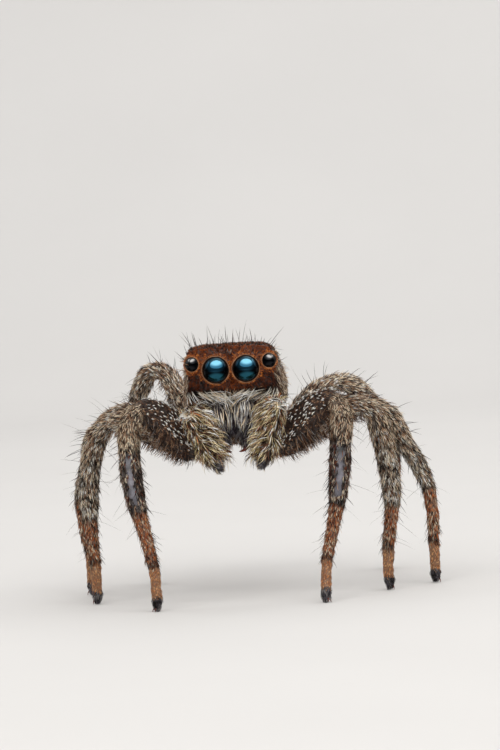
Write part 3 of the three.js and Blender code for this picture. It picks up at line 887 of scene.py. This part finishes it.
class Strands:
    """Hairs of one number of lengthwise segments, as arrays that grow into one mesh."""

    THINNING = 0.55

    def __init__(self, segments):
        self.segments = segments
        self.points, self.colours, self.maps = [], [], []

    def add(self, places, lie, length, width, lift, bend, colour, atlas, droop=0.0, flat=0.4):
        """One hair from each place. Angles are in radians, droop is how far the weight of the hair turns
        it down by its tip, and flat is its thickness as a share of its width."""
        steps, normal = self.segments, places.normals
        side = np.cross(normal, lie)
        at = places.points - normal * np.minimum(ROOT_SINK, SINK_SHARE * length)[:, None]
        levels = []
        for step in range(steps):
            heading = lift - bend * step / max(steps - 1, 1)
            way = unit(
                lie * np.cos(heading)[:, None] + normal * np.sin(heading)[:, None] - UP * droop * step / steps
            )
            thickness = (width * (1 - self.THINNING * (step / steps) ** 2))[:, None]
            ridge = -unit(np.cross(way, side))
            corners = (at - side * thickness / 2, at + side * thickness / 2, at + ridge * thickness * flat)
            levels.append(np.stack(corners, axis=1))
            at = at + way * (length / steps)[:, None]
        self.points.append(np.concatenate(levels + [at[:, None]], axis=1))
        # Each hair's colour carries painted shade at its root and a painted highlight towards its tip.
        share = np.r_[np.repeat(np.arange(steps) / steps, 3), 1.0]
        shade = blend(ROOT_PAINTED_SHADE, TIP_PAINTED_HIGHLIGHT, share)
        self.colours.append(np.minimum(colour[:, None] * shade[None, :, None], PALEST))
        across = np.r_[np.tile([-0.5, 0.5, 0.0], steps), 0.0]
        self.maps.append(atlas[:, None] + PATCH * np.column_stack([across, share - 0.5])[None])

    def template(self):
        """The triangles of one hair."""
        faces = [(0, 2, 1)]
        edges = ((0, 1), (1, 2), (2, 0))
        for low in range(0, 3 * self.segments - 3, 3):
            for i, j in edges:
                faces += [(low + i, low + j, low + 3 + j), (low + i, low + 3 + j, low + 3 + i)]
        low = 3 * self.segments - 3
        return np.array(faces + [(low + i, low + j, low + 3) for i, j in edges])

    def mesh(self):
        """The points, faces, colours and map places of all the hairs."""
        points = np.concatenate(self.points)
        count, each = points.shape[:2]
        faces = (self.template()[None] + (np.arange(count) * each)[:, None, None]).reshape(-1, 3)
        colours, maps = np.concatenate(self.colours), np.concatenate(self.maps)
        return points.reshape(-1, 3), faces, colours.reshape(-1, 3), maps.reshape(-1, 2)


class Coat:
    """One piece of the coat: the hairs of one part of the body. axis is at the centre of its map."""

    def __init__(self, name, where, slot, axis=(0.0, -1.0, 0.0), share=1.0):
        self.name, self.slot, self.axis = name, slot, np.array(axis)
        self.share = share * QUICK_SHARE
        self.faces = np.nonzero(where[skin.triangles[:, 0]])[0]
        self.corners = EVERYWHERE.only(skin.triangles[self.faces, 0])
        self.middle = self.corners.points.mean(0)
        self.coats = coat_at(self.corners)
        self.random = np.random.default_rng([SEED, sum(map(ord, name))])
        self.strands = {2: Strands(2), 3: Strands(3)}

    def grow(self):
        """The coat itself: every hair takes its looks from where it stands, much as its clump does."""
        random = self.random
        places = roots(self.faces, GROWTH[self.coats, 0] * self.share, random)
        coat = coat_at(places, random)
        keep = (stripe(places) <= 0.5) & ~over_eye(places.points)
        places, coat = places.only(keep), coat[keep]
        points, normals, count = places.points, places.normals, len(places)
        _, shortest, longest, width, least, most, bend = GROWTH[coat].T
        like = blend(random.random(count), clumps(points, CLUMP, 1), TONE_FROM_CLUMP)
        level = 0.5 + CONTRAST * (like - 0.5) + TONE_DRIFT[1] * ripple(points, TONE_DRIFT[0], 22)
        colours = tones_at(places, coat, level) * random.uniform(0.75, 1.25, count)[:, None]
        swirl = TURN_DRIFT[1] * ripple(points, TURN_DRIFT[0], 21)
        swirl += CLUMP_TURN * (clumps(points, CLUMP, 2) - 0.5)
        swirl *= np.where(on_palp(places), PALP_SWIRL, 1.0)
        lie = turned(lie_at(places, coat), normals, swirl + random.normal(0, HAIR_TURN, count))
        rise = blend(random.random(count), clumps(points, CLUMP, 3), LIFT_FROM_CLUMP)
        lift = np.radians(blend(least, most, rise))
        length = above_floor(places, lie, blend(shortest, longest, random.random(count)))
        width = width * random.uniform(0.75, 1.2, count) / math.sqrt(self.share)
        self.strands[2].add(
            places, lie, length, width, lift, np.radians(bend), colours, self.unwrapped(places)
        )

    def scatter(self, kind, names, where=None, lie=None, raised=0.0, loose=0.25, lock=0.0,
                segments=3, droop=0.0, flat=0.5):
        """A kind of stray over the coats named. loose is how far they turn aside, in radians, and lock is
        how much of that turn a hair has in common with its neighbours."""
        random = self.random
        per_mm2, shortest, longest, width, least, most, bend, colours = STRAYS[kind]
        chosen = np.isin(self.coats, [COAT_NUMBER[name] for name in names])
        if where is not None:
            chosen &= where(self.corners)
        if not chosen.any():
            return
        places = roots(self.faces[chosen], per_mm2 * self.share, random)
        normals, count = places.normals, len(places)
        way = lie_at(places, coat_at(places)) if lie is None else in_plane(lie(places), normals)
        shared = LOCK_SWING * (clumps(places.points, LOCK_SIZE, 4) - 0.5)
        way = turned(way, normals, loose * blend(random.normal(0, 1, count), shared, lock))
        places.points = places.points + normals * raised
        length = above_floor(places, way, random.uniform(shortest, longest, count))
        lift = np.radians(random.uniform(least, most, count))
        colours = shades(colours.split())
        picked = colours[random.integers(0, len(colours), count)]
        width = width * random.uniform(0.8, 1.15, count)
        self.strands[segments].add(
            places, way, length, width, lift, math.radians(bend), picked, self.unwrapped(places), droop, flat
        )

    def unwrapped(self, places):
        """Each place on an unwrap of the skin's shape, 0 to 1 both ways: round and along a limb, or an
        equal-area map of the body piece about its middle."""
        ends = np.where(on_palp(places), 2.0, 5.0)
        along_limb = np.column_stack([places.angle / math.tau + 0.5, places.mark / ends])
        out = unit(places.points - self.middle)
        across = unit(np.cross(self.axis, [0.31, 0.2, 0.93]))
        up = np.cross(self.axis, across)
        reach = np.sqrt(np.clip((1 - out @ self.axis) / 2, 0, 1))
        around = np.arctan2(out @ up, out @ across)
        on_body = 0.5 + 0.5 * reach[:, None] * np.column_stack([np.cos(around), np.sin(around)])
        spot = np.where((places.limb >= 0)[:, None], along_limb, on_body)
        return PATCH + (1 - 2 * PATCH) * np.clip(spot, 0, 1)

    def finish(self):
        grown = [strands.mesh() for strands in self.strands.values() if strands.points]
        points, faces, _ = joined(part[:2] for part in grown)
        points[:, 2] = np.maximum(points[:, 2], SOLE / 2)
        made = make_object(self.name, to_row(points), faces, smooth=False)
        paint(made, np.vstack([part[2] for part in grown]))
        maps = np.vstack([part[3] for part in grown])
        layer = made.data.uv_layers.new(name="OFBake")
        layer.data.foreach_set("uv", maps[faces.ravel()].astype(np.float32).ravel())
        made.data.materials.append(HAIR)
        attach(made, "root")


# ---------------------------------------- materials

FLOOR_COLOUR = rgb(209, 207, 205)
HORN_DARK, HORN_LIGHT = rgb(40, 14, 10), rgb(120, 44, 26)


def material(name, roughness, specular=0.5):
    """A material of one Principled shader, and its node tree."""
    made = bpy.data.materials.new(name)
    made.use_nodes = True
    shader = made.node_tree.nodes["Principled BSDF"]
    shader.inputs["Roughness"].default_value = roughness
    shader.inputs["Specular IOR Level"].default_value = specular
    return made, made.node_tree, shader


def attribute_colour(tree, name="Color"):
    node = tree.nodes.new("ShaderNodeAttribute")
    node.attribute_name = name
    return node.outputs["Color"]


def object_noise(tree, grain, detail=3.0):
    """Noise whose blots are about grain mm across."""
    place = tree.nodes.new("ShaderNodeTexCoord")
    noise = tree.nodes.new("ShaderNodeTexNoise")
    noise.inputs["Scale"].default_value = 1 / (grain * MM)
    noise.inputs["Detail"].default_value = detail
    tree.links.new(place.outputs["Object"], noise.inputs["Vector"])
    return noise.outputs["Fac"]


def ranged(tree, value, low, high):
    node = tree.nodes.new("ShaderNodeMapRange")
    node.inputs["To Min"].default_value = low
    node.inputs["To Max"].default_value = high
    tree.links.new(value, node.inputs["Value"])
    return node.outputs["Result"]


def shaded(tree, colour, factor):
    """A colour made lighter or darker by a factor."""
    node = tree.nodes.new("ShaderNodeVectorMath")
    node.operation = "SCALE"
    tree.links.new(colour, node.inputs[0])
    tree.links.new(factor, node.inputs["Scale"])
    return node.outputs["Vector"]


def coloured(name, roughness, specular, grain, tints, detail=3.0):
    """A material with the colours of the piece's points, made darker and lighter by noise."""
    made, tree, shader = material(name, roughness, specular)
    tint = ranged(tree, object_noise(tree, grain, detail), *tints)
    tree.links.new(shaded(tree, attribute_colour(tree), tint), shader.inputs["Base Color"])
    return made, tree, shader


def finish_sets(tree, socket):
    """Links a socket to the finish of the piece's points."""
    node = tree.nodes.new("ShaderNodeSeparateColor")
    tree.links.new(attribute_colour(tree, "Finish"), node.inputs["Color"])
    tree.links.new(node.outputs["Red"], socket)


def hair_material():
    made, tree, shader = coloured("hair", roughness=0.5, specular=0.09, grain=0.05, tints=(0.72, 1.28))
    tree.links.new(ranged(tree, object_noise(tree, 0.09), 0.36, 0.66), shader.inputs["Roughness"])
    return made


def skin_material():
    made, tree, shader = coloured("cuticle", 0.45, specular=0.5, grain=0.07, tints=(0.55, 1.4), detail=5.0)
    finish_sets(tree, shader.inputs["Roughness"])
    height = object_noise(tree, 0.04, 6.0)
    node = tree.nodes.new("ShaderNodeBump")
    node.inputs["Distance"].default_value = 0.01 * MM
    node.inputs["Strength"].default_value = 0.7
    tree.links.new(height, node.inputs["Height"])
    tree.links.new(node.outputs["Normal"], shader.inputs["Normal"])
    return made


def eye_material():
    made, tree, shader = coloured("eye", roughness=0.04, specular=0.3, grain=0.3, tints=(0.9, 1.1))
    finish_sets(tree, shader.inputs["Metallic"])
    return made


def horn_material():
    made, tree, shader = material("horn", roughness=0.22)
    node = tree.nodes.new("ShaderNodeValToRGB")
    node.color_ramp.elements[0].color = (*HORN_DARK, 1)
    node.color_ramp.elements[1].color = (*HORN_LIGHT, 1)
    tree.links.new(object_noise(tree, 0.12), node.inputs["Fac"])
    tree.links.new(node.outputs["Color"], shader.inputs["Base Color"])
    return made


def floor_material():
    made, tree, shader = material("floor", roughness=0.75, specular=0.15)
    tint = ranged(tree, object_noise(tree, 12.0), 0.97, 1.03)
    colour = tree.nodes.new("ShaderNodeRGB")
    colour.outputs[0].default_value = (*FLOOR_COLOUR, 1)
    tree.links.new(shaded(tree, colour.outputs[0], tint), shader.inputs["Base Color"])
    return made


HAIR = hair_material()
CUTICLE = skin_material()
EYE = eye_material()
HORN = horn_material()


# ---------------------------------------- the skin piece

SKIN_SHADE = 0.4
SKIN_FINISH, LINE_FINISH = 0.5, 0.24


def make_skin():
    skin.mesh.vertices.foreach_set("co", to_row(skin.points).astype(np.float32).ravel())
    skin.mesh.shade_smooth()
    skin.mesh.update()
    line = ramp(0.0, 0.3, stripe(EVERYWHERE))[:, None]
    bare = PALETTE["steel"] * (0.75 + 0.3 * ripple(skin.points, 0.2, 32))[:, None]
    colours = blend(tones_at(EVERYWHERE, coat_at(EVERYWHERE)) * SKIN_SHADE, bare, line)
    made = linked("skin", skin.mesh)
    paint(made, colours, blend(SKIN_FINISH, LINE_FINISH, line))
    made.data.materials.clear()
    made.data.materials.append(CUTICLE)
    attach(made, "root")
    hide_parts(*FLESH)


make_skin()


# ---------------------------------------- the coat pieces

THIGHS = ("femur", "femur_1")
KNEES = ("patella", "patella_1")
LOWER = ("rusty", "metatarsus", "metatarsus_1")
SHINS = ("tibia", "tibia_1", *LOWER)
FACE = ("crown", "brow", "face")
ABDOMEN = ("abdomen", "abdomen_light", "abdomen_dark")
# The thinner coat of the hind legs, as a share of that of the front ones.
HIND_SHARE = 0.78
# How high the flecks of the first femora stand over the skin, in mm.
FLECK_HEIGHT = 0.055
# In mm: the height above which the crown's bristles grow; how far out and how high the temples start; the
# height of the tuft between the eyes and its half size; and the heights above which the long pale hairs
# grow under the face and on the jaws.
CROWN_FROM = 7.6
TEMPLE_FROM = (1.18, 6.9)
EYE_TUFT_HEIGHT, EYE_TUFT_HALF = 7.52, 0.05
BIB_FROM = 6.16
JAW_BIB_FROM = 5.55
# The point below the jaws that the jaws' long pale hairs run towards.
JAW_POINT = np.array([0.0, -0.4, 4.4])


# How far round from the top of a limb its top reaches and its underside starts, in radians.
TOP_TO, UNDER_FROM = 1.3, 2.1


def on_top(places):
    return np.abs(places.angle) < TOP_TO


def underneath(places):
    return np.abs(places.angle) > UNDER_FROM


def make_leg_coat(index):
    share = 1.0 if index < 4 else HIND_SHARE
    coat = Coat(f"coat_{LEGS[index].name}", skin.limb == index, "leg", share=share)
    coat.grow()
    if index < 2:
        coat.scatter("femur flecks", ("femur_1",), lambda p: ~underneath(p) & (p.mark < 0.92),
                     raised=FLECK_HEIGHT, segments=2, flat=0.4)
    coat.scatter("femur fringe", THIGHS, underneath, lambda p: p.along * 0.6 - UP, droop=0.2)
    coat.scatter("leg locks", ("femur", "patella", "tibia"))
    coat.scatter("knee locks", KNEES, on_top)
    coat.scatter("front shin locks", ("tibia_1",))
    coat.scatter("lower leg locks", LOWER)
    coat.scatter("shin fringe", SHINS, underneath, loose=0.2)
    coat.scatter("knee bristles", KNEES + THIGHS, lambda p: on_top(p) & (p.mark > 0.55), loose=0.5)
    coat.scatter("shin spines", SHINS, loose=0.3)
    coat.scatter("leg feelers", THIGHS + KNEES + SHINS, loose=0.6)
    coat.finish()


for leg_index in range(len(LEGS)):
    make_leg_coat(leg_index)


def between_eyes(places):
    x, z = places.points[:, 0], places.points[:, 2]
    return (np.abs(x) < EYE_TUFT_HALF) & (np.abs(z - EYE_TUFT_HEIGHT) < EYE_TUFT_HALF)


def make_face_coat():
    coat = Coat("coat_face", of_node(skin, "carapace") & (skin.points[:, 1] < FACE_DEPTH), "carapace")
    coat.grow()
    coat.scatter("crown bristles", FACE, lambda p: p.points[:, 2] > CROWN_FROM,
                 lambda p: coat.random.normal(size=p.points.shape))
    coat.scatter("temple bristles", ("cheek", *FACE),
                 lambda p: (np.abs(p.points[:, 0]) > TEMPLE_FROM[0]) & (p.points[:, 2] > TEMPLE_FROM[1]),
                 lambda p: np.sign(p.points[:, :1]) * (0.8, 0, 0) + (0.0, -0.5, 0.7), loose=0.6)
    coat.scatter("cheek locks", ("cheek",))
    coat.scatter("bib", ("clypeus",), lambda p: p.points[:, 2] > BIB_FROM, loose=0.12, droop=0.75)
    coat.scatter("tuft between the eyes", FACE, between_eyes,
                 lambda p: np.full(p.points.shape, (0.3, 0.0, 1.0)), loose=0.1)
    for eye in EYES:
        eye_ring(coat, eye)
    coat.finish()


# The width of a scale in mm, and how much of its lift it loses by its tip, in radians.
SCALE_WIDTH, SCALE_BEND = 0.018, 0.3


def eye_ring(coat, eye):
    """The ring of scales round an eye."""
    count, length, colours = eye.scales
    random = coat.random
    angle = math.tau * (np.arange(count) + random.uniform(-0.4, 0.4, count)) / count
    out = circle(angle, eye.across, eye.up)
    away = eye.rim + eye.thickness * random.uniform(0.7, 1.7, count)
    places = EVERYWHERE.only(np.full(count, coat.faces[0]))
    places.points = eye.centre + out * away[:, None] + eye.axis * (eye.ahead + eye.thickness * 0.8)
    places.normals = unit(out * 0.2 + eye.axis)
    places.limb = np.full(count, -1)
    lie = in_plane(out, places.normals)
    lie = turned(lie, places.normals, random.normal(0, 0.3, count))
    colours = shades(colours.split())
    picked = colours[random.integers(0, len(colours), count)]
    lengths = length * random.uniform(0.7, 1.3, count)
    lift = np.radians(random.uniform(4, 20, count))
    width = np.full(count, SCALE_WIDTH)
    coat.strands[2].add(places, lie, lengths, width, lift, SCALE_BEND, picked, coat.unwrapped(places))


def make_back_coat():
    """The coat of the carapace behind the face."""
    where = of_node(skin, "carapace") & (skin.points[:, 1] >= FACE_DEPTH)
    coat = Coat("coat_carapace", where, "carapace", UP)
    coat.grow()
    coat.scatter("back bristles", ("crown",), lie=lambda p: coat.random.normal(size=p.points.shape))
    coat.scatter("flank locks", ("cheek",))
    coat.finish()


make_face_coat()
make_back_coat()


def make_palp_coat(index):
    limb = LIMBS[index]
    coat = Coat(f"coat_{limb.name}", skin.limb == index, "palp")
    coat.grow()
    coat.scatter("palp locks", ("palp",), droop=0.4, loose=0.5, lock=0.85)
    coat.scatter("palp brush", ("palp",), lambda p: (p.normals[:, 0] * limb.side < -0.1) & (p.mark > 0.9),
                 lambda p: np.full(p.points.shape, (-limb.side, -0.2, -0.35)),
                 droop=0.7, loose=0.4, lock=0.85)
    coat.scatter("amber palp hairs", ("palp",), lambda p: (p.mark > 0.9) & (p.mark < 1.35), droop=0.4)
    coat.scatter("palp knee band", ("palp",),
                 lambda p: (p.normals[:, 2] > 0.25) & (np.abs(p.mark - 0.98) < 0.16),
                 lambda p: np.full(p.points.shape, (limb.side, -0.3, 0.2)), loose=0.14, droop=0.5)
    coat.scatter("palp feelers", ("palp",), droop=0.1)
    coat.scatter("palp tip hairs", ("palp_tip",))
    coat.finish()


for palp_index in range(len(LEGS), len(LIMBS)):
    make_palp_coat(palp_index)


def make_body_coats():
    for side in SIDES:
        coat = Coat(f"coat_jaw_{side}", of_node(skin, f"jaw_{side}"), "jaw", -UP)
        coat.grow()
        coat.scatter("jaw locks", ("jaw",))
        coat.scatter("jaw bib", ("jaw",),
                     lambda p: (p.normals[:, 1] < -0.1) & (p.points[:, 2] > JAW_BIB_FROM),
                     lambda p: JAW_POINT - p.points, loose=0.12, droop=0.2)
        coat.finish()
    coat = Coat("coat_abdomen", of_node(skin, "abdomen", "spinnerets", "pedicel"), "abdomen", (0.0, 1.0, 0.0))
    coat.grow()
    coat.scatter("abdomen locks", ABDOMEN)
    coat.scatter("abdomen feelers", ABDOMEN)
    coat.finish()
    coat = Coat("coat_underside", of_node(skin, "underbody"), "underside", -UP)
    coat.grow()
    coat.finish()


make_body_coats()


# ---------------------------------------- eyes, fangs and claws

PUPIL = rgb(6, 7, 9)
RIM = rgb(152, 102, 66)
# Painted highlights and reflections on an eye's lens, laid on its metallic front: the colour of each patch,
# where its middle is and its half sizes, across and up, as shares of the eye's radius.
MAIN_PAINTED_REFLECTIONS = (
    (rgb(98, 144, 160), (0.1, 0.56), (0.52, 0.3)),
    (rgb(34, 78, 100), (0.04, 0.34), (0.7, 0.52)),
    (rgb(34, 84, 100), (0.08, -0.48), (0.62, 0.34)),
)
SIDE_PAINTED_REFLECTIONS = (
    (rgb(140, 138, 136), (0.06, 0.52), (0.46, 0.28)),
    (rgb(40, 40, 42), (0.02, 0.4), (0.6, 0.46)),
    (rgb(30, 30, 32), (0.0, -0.46), (0.6, 0.36)),
)
# Where a painted patch starts to fade and where it ends, as shares of its half sizes, and the same for the
# metallic front that carries the painted reflections, as shares of the eye's radius.
PAINTED_REFLECTION_EDGES = (0.45, 1.1)
METAL_AND_PAINTED_REFLECTION_TO = (0.72, 0.9)
LENS_AROUND, LENS_DOWN = 72, 44
# The groove round a lens: how far down from its pole and how wide, in radians, and its depth as a share
# of the radius.
GROOVE_AT, GROOVE_WIDTH, GROOVE_DEPTH = 1.35, 0.07, 0.03


def make_eye(eye):
    """A lens turned about its own axis: a bulging front, a groove at its rim and a round back."""
    slope = math.pi * (np.arange(1, LENS_DOWN) / LENS_DOWN)
    size = eye.radius * (1 - GROOVE_DEPTH * np.exp(-(((slope - GROOVE_AT) / GROOVE_WIDTH) ** 2)))
    points, triangles = closed_tube(
        eye.centre
        + circle(full_turn(LENS_AROUND), eye.across, eye.up)[None] * (np.sin(slope) * size)[:, None, None]
        + eye.axis * (np.cos(slope) * size)[:, None, None]
    )
    points[-2:] = eye.centre + eye.axis * eye.radius, eye.centre - eye.axis * eye.radius
    way = unit(points - eye.centre)
    aside, above = -(way @ eye.across), way @ eye.up
    # The metallic front of the lens, which carries the painted highlights and reflections.
    metal_and_painted_reflection = (1 - ramp(*METAL_AND_PAINTED_REFLECTION_TO, np.hypot(aside, above))) * (way @ eye.axis > 0)
    colours = np.tile(PUPIL, (len(points), 1))
    # Painted highlights and reflections on a black pupil: a pale patch high on the lens, a dimmer glow round
    # it and a dim patch low down.
    for colour, middle, half in MAIN_PAINTED_REFLECTIONS if eye.name == "front_middle" else SIDE_PAINTED_REFLECTIONS:
        away = np.hypot((aside - middle[0]) / half[0], (above - middle[1]) / half[1])
        colours += colour * ((1 - ramp(*PAINTED_REFLECTION_EDGES, away)) * metal_and_painted_reflection)[:, None]
    name, side = eye.name, eye.side
    made = make_object(f"lens_{name}_{side}", to_row(points), triangles)
    paint(made, colours, metal_and_painted_reflection[:, None])
    made.data.materials.append(EYE)
    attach(made, "root")
    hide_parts(f"eye_{name}_{side}")


def make_eye_rims():
    """The narrow raised ring of cuticle round each lens."""
    rings = []
    for eye in EYES:
        points, triangles = eye.hoop(0.8, 96, 12)
        rings.append((points + eye.axis * (0.003 * ripple(points, 0.08, 41))[:, None], triangles))
    points, triangles, _ = joined(rings)
    made = make_object("eye_rims", to_row(points), triangles)
    paint(made, RIM * (0.8 + 0.25 * ripple(points, 0.12, 42))[:, None], SKIN_FINISH)
    made.data.materials.append(CUTICLE)
    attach(made, "root")


for eye in EYES:
    make_eye(eye)
make_eye_rims()


def curved_spike(start, way, curl, length, thickness, rings=9, sides=10):
    """A horn that bends from way towards curl and thins to a point."""
    at, heading = np.array(start, float), unit(np.array(way, float))
    rim = []
    for step in range(rings):
        across = unit(np.cross(heading, curl))
        size = thickness * (1 - step / (rings - 1)) ** 0.7 + thickness * 0.06
        rim.append(at + size * circle(full_turn(sides), across, np.cross(across, heading)))
        at = at + heading * length / (rings - 1)
        heading = unit(heading + np.array(curl) * 1.5 / rings)
    return closed_tube(np.array(rim))


# How far a fang's root is from the middle and above the CAD's fang, and the sizes of fangs and claws, in
# mm.
FANG_ASIDE, FANG_RISE = 0.36, 0.06
FANG_LENGTH, FANG_THICKNESS = 0.34, 0.075
CLAW_LENGTH, CLAW_THICKNESS = 0.15, 0.018


def make_fang(side):
    sign = SIDES[side]
    low, high = node_box(f"fang_{side}")
    start = (sign * FANG_ASIDE, (low[1] + high[1]) / 2, high[2] + FANG_RISE)
    way, curl = (-sign * 0.3, -0.2, -1.0), (-sign * 1.6, 0.3, 0.3)
    points, triangles = curved_spike(start, way, curl, FANG_LENGTH, FANG_THICKNESS)
    made = make_object(f"horn_fang_{side}", to_row(points), triangles)
    made.data.materials.append(HORN)
    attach(made, "root")
    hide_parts(f"fang_{side}")


def make_claws():
    """Two small claws at the end of each leg, over the tuft."""
    claws = []
    for limb in LEGS:
        tip, along, top, front = limb.centre[-3], limb.along[-3], limb.top[-3], limb.front[-3]
        for sign in (-1, 1):
            start = tip + top * 0.1 + front * 0.05 * sign
            way = along + top * 0.9 + front * 0.35 * sign
            claws.append(curved_spike(start, way, -top * 0.8 + along * 0.5, CLAW_LENGTH, CLAW_THICKNESS))
    points, triangles, _ = joined(claws)
    points[:, 2] = np.maximum(points[:, 2], SOLE)
    made = make_object("claws", to_row(points), triangles)
    made.data.materials.append(HORN)
    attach(made, "root")


for side in SIDES:
    make_fang(side)
make_claws()


# ---------------------------------------- floor, light and camera

# The floor runs flat under the animal and curves up behind it: places along y and sizes in mm.
FLOOR = {"half_width": 800, "front": -500, "bend": 90, "radius": 60, "height": 420}


def make_floor():
    bend, radius, x = FLOOR["bend"], FLOOR["radius"], FLOOR["half_width"]
    turn = np.linspace(0, math.pi / 2, 24)
    y = np.r_[FLOOR["front"], 0, bend + radius * np.sin(turn), bend + radius]
    z = np.r_[0, 0, radius * (1 - np.cos(turn)), FLOOR["height"]]
    count = len(y)
    points = np.vstack([np.column_stack([np.full(count, s * x), y, z]) for s in (-1, 1)])
    a = np.arange(count - 1)
    made = make_object("floor", to_row(points), np.column_stack([a, a + count, a + count + 1, a + 1]))
    made.data.materials.append(floor_material())


# The point the camera looks at and its place from there, in mm and degrees.
TARGET = np.array([0.57, 0.0, 6.8])
CAMERA = {"azimuth": 3, "elevation": 3, "distance": 125, "roll": 3.3, "lens": 200}
CLIP = (10, 2000)


def looking(azimuth, elevation, distance):
    """The matrix of a light or camera that looks at the target, in the row frame."""
    a, e = math.radians(azimuth), math.radians(elevation)
    place = TARGET + np.array([math.sin(a) * math.cos(e), -math.cos(a) * math.cos(e), math.sin(e)]) * distance
    back = unit(place - TARGET)
    right = unit(np.cross(UP, back))
    matrix = Matrix(np.column_stack([right, np.cross(back, right), back]).tolist()).to_4x4()
    matrix.translation = Vector(to_row(place))
    return matrix


# Soft lights: azimuth and elevation from the target, distance, width and height in mm, how bright their
# cloth is and its colour. Then the brightness and colour of the room.
LIGHTS = {
    "key": (10, 50, 150, 330, 210, 1.95, (1.0, 0.985, 0.96)),
    "left": (-105, 28, 150, 140, 140, 1.5, (1.0, 0.985, 0.97)),
    "right": (108, 26, 150, 140, 140, 1.35, (1.0, 0.985, 0.97)),
    "back": (165, 50, 150, 140, 140, 1.1, (1.0, 1.0, 1.0)),
}
ROOM_LIGHT, ROOM_COLOUR = 0.35, (0.96, 0.98, 1.0, 1)


def make_lights():
    for name, (azimuth, elevation, distance, width, height, brightness, colour) in LIGHTS.items():
        data = bpy.data.lights.new(name, "AREA")
        data.shape = "ELLIPSE"
        data.size = width * MM
        data.size_y = height * MM
        data.energy = brightness * math.pi * math.pi * (width * MM / 2) * (height * MM / 2)
        data.color = colour
        linked(name, data).matrix_world = looking(azimuth, elevation, distance)
    world = bpy.data.worlds.new("room")
    world.use_nodes = True
    world.node_tree.nodes["Background"].inputs["Color"].default_value = ROOM_COLOUR
    world.node_tree.nodes["Background"].inputs["Strength"].default_value = ROOM_LIGHT
    bpy.context.scene.world = world


def make_camera():
    data = bpy.data.cameras.new("camera")
    data.lens = CAMERA["lens"]
    data.clip_start, data.clip_end = (distance * MM for distance in CLIP)
    camera = linked("camera", data)
    roll = Matrix.Rotation(math.radians(-CAMERA["roll"]), 4, "Z")
    camera.matrix_world = looking(CAMERA["azimuth"], CAMERA["elevation"], CAMERA["distance"]) @ roll
    bpy.context.scene.camera = camera


make_floor()
make_lights()
make_camera()
bpy.context.scene.view_settings.view_transform = "Standard"
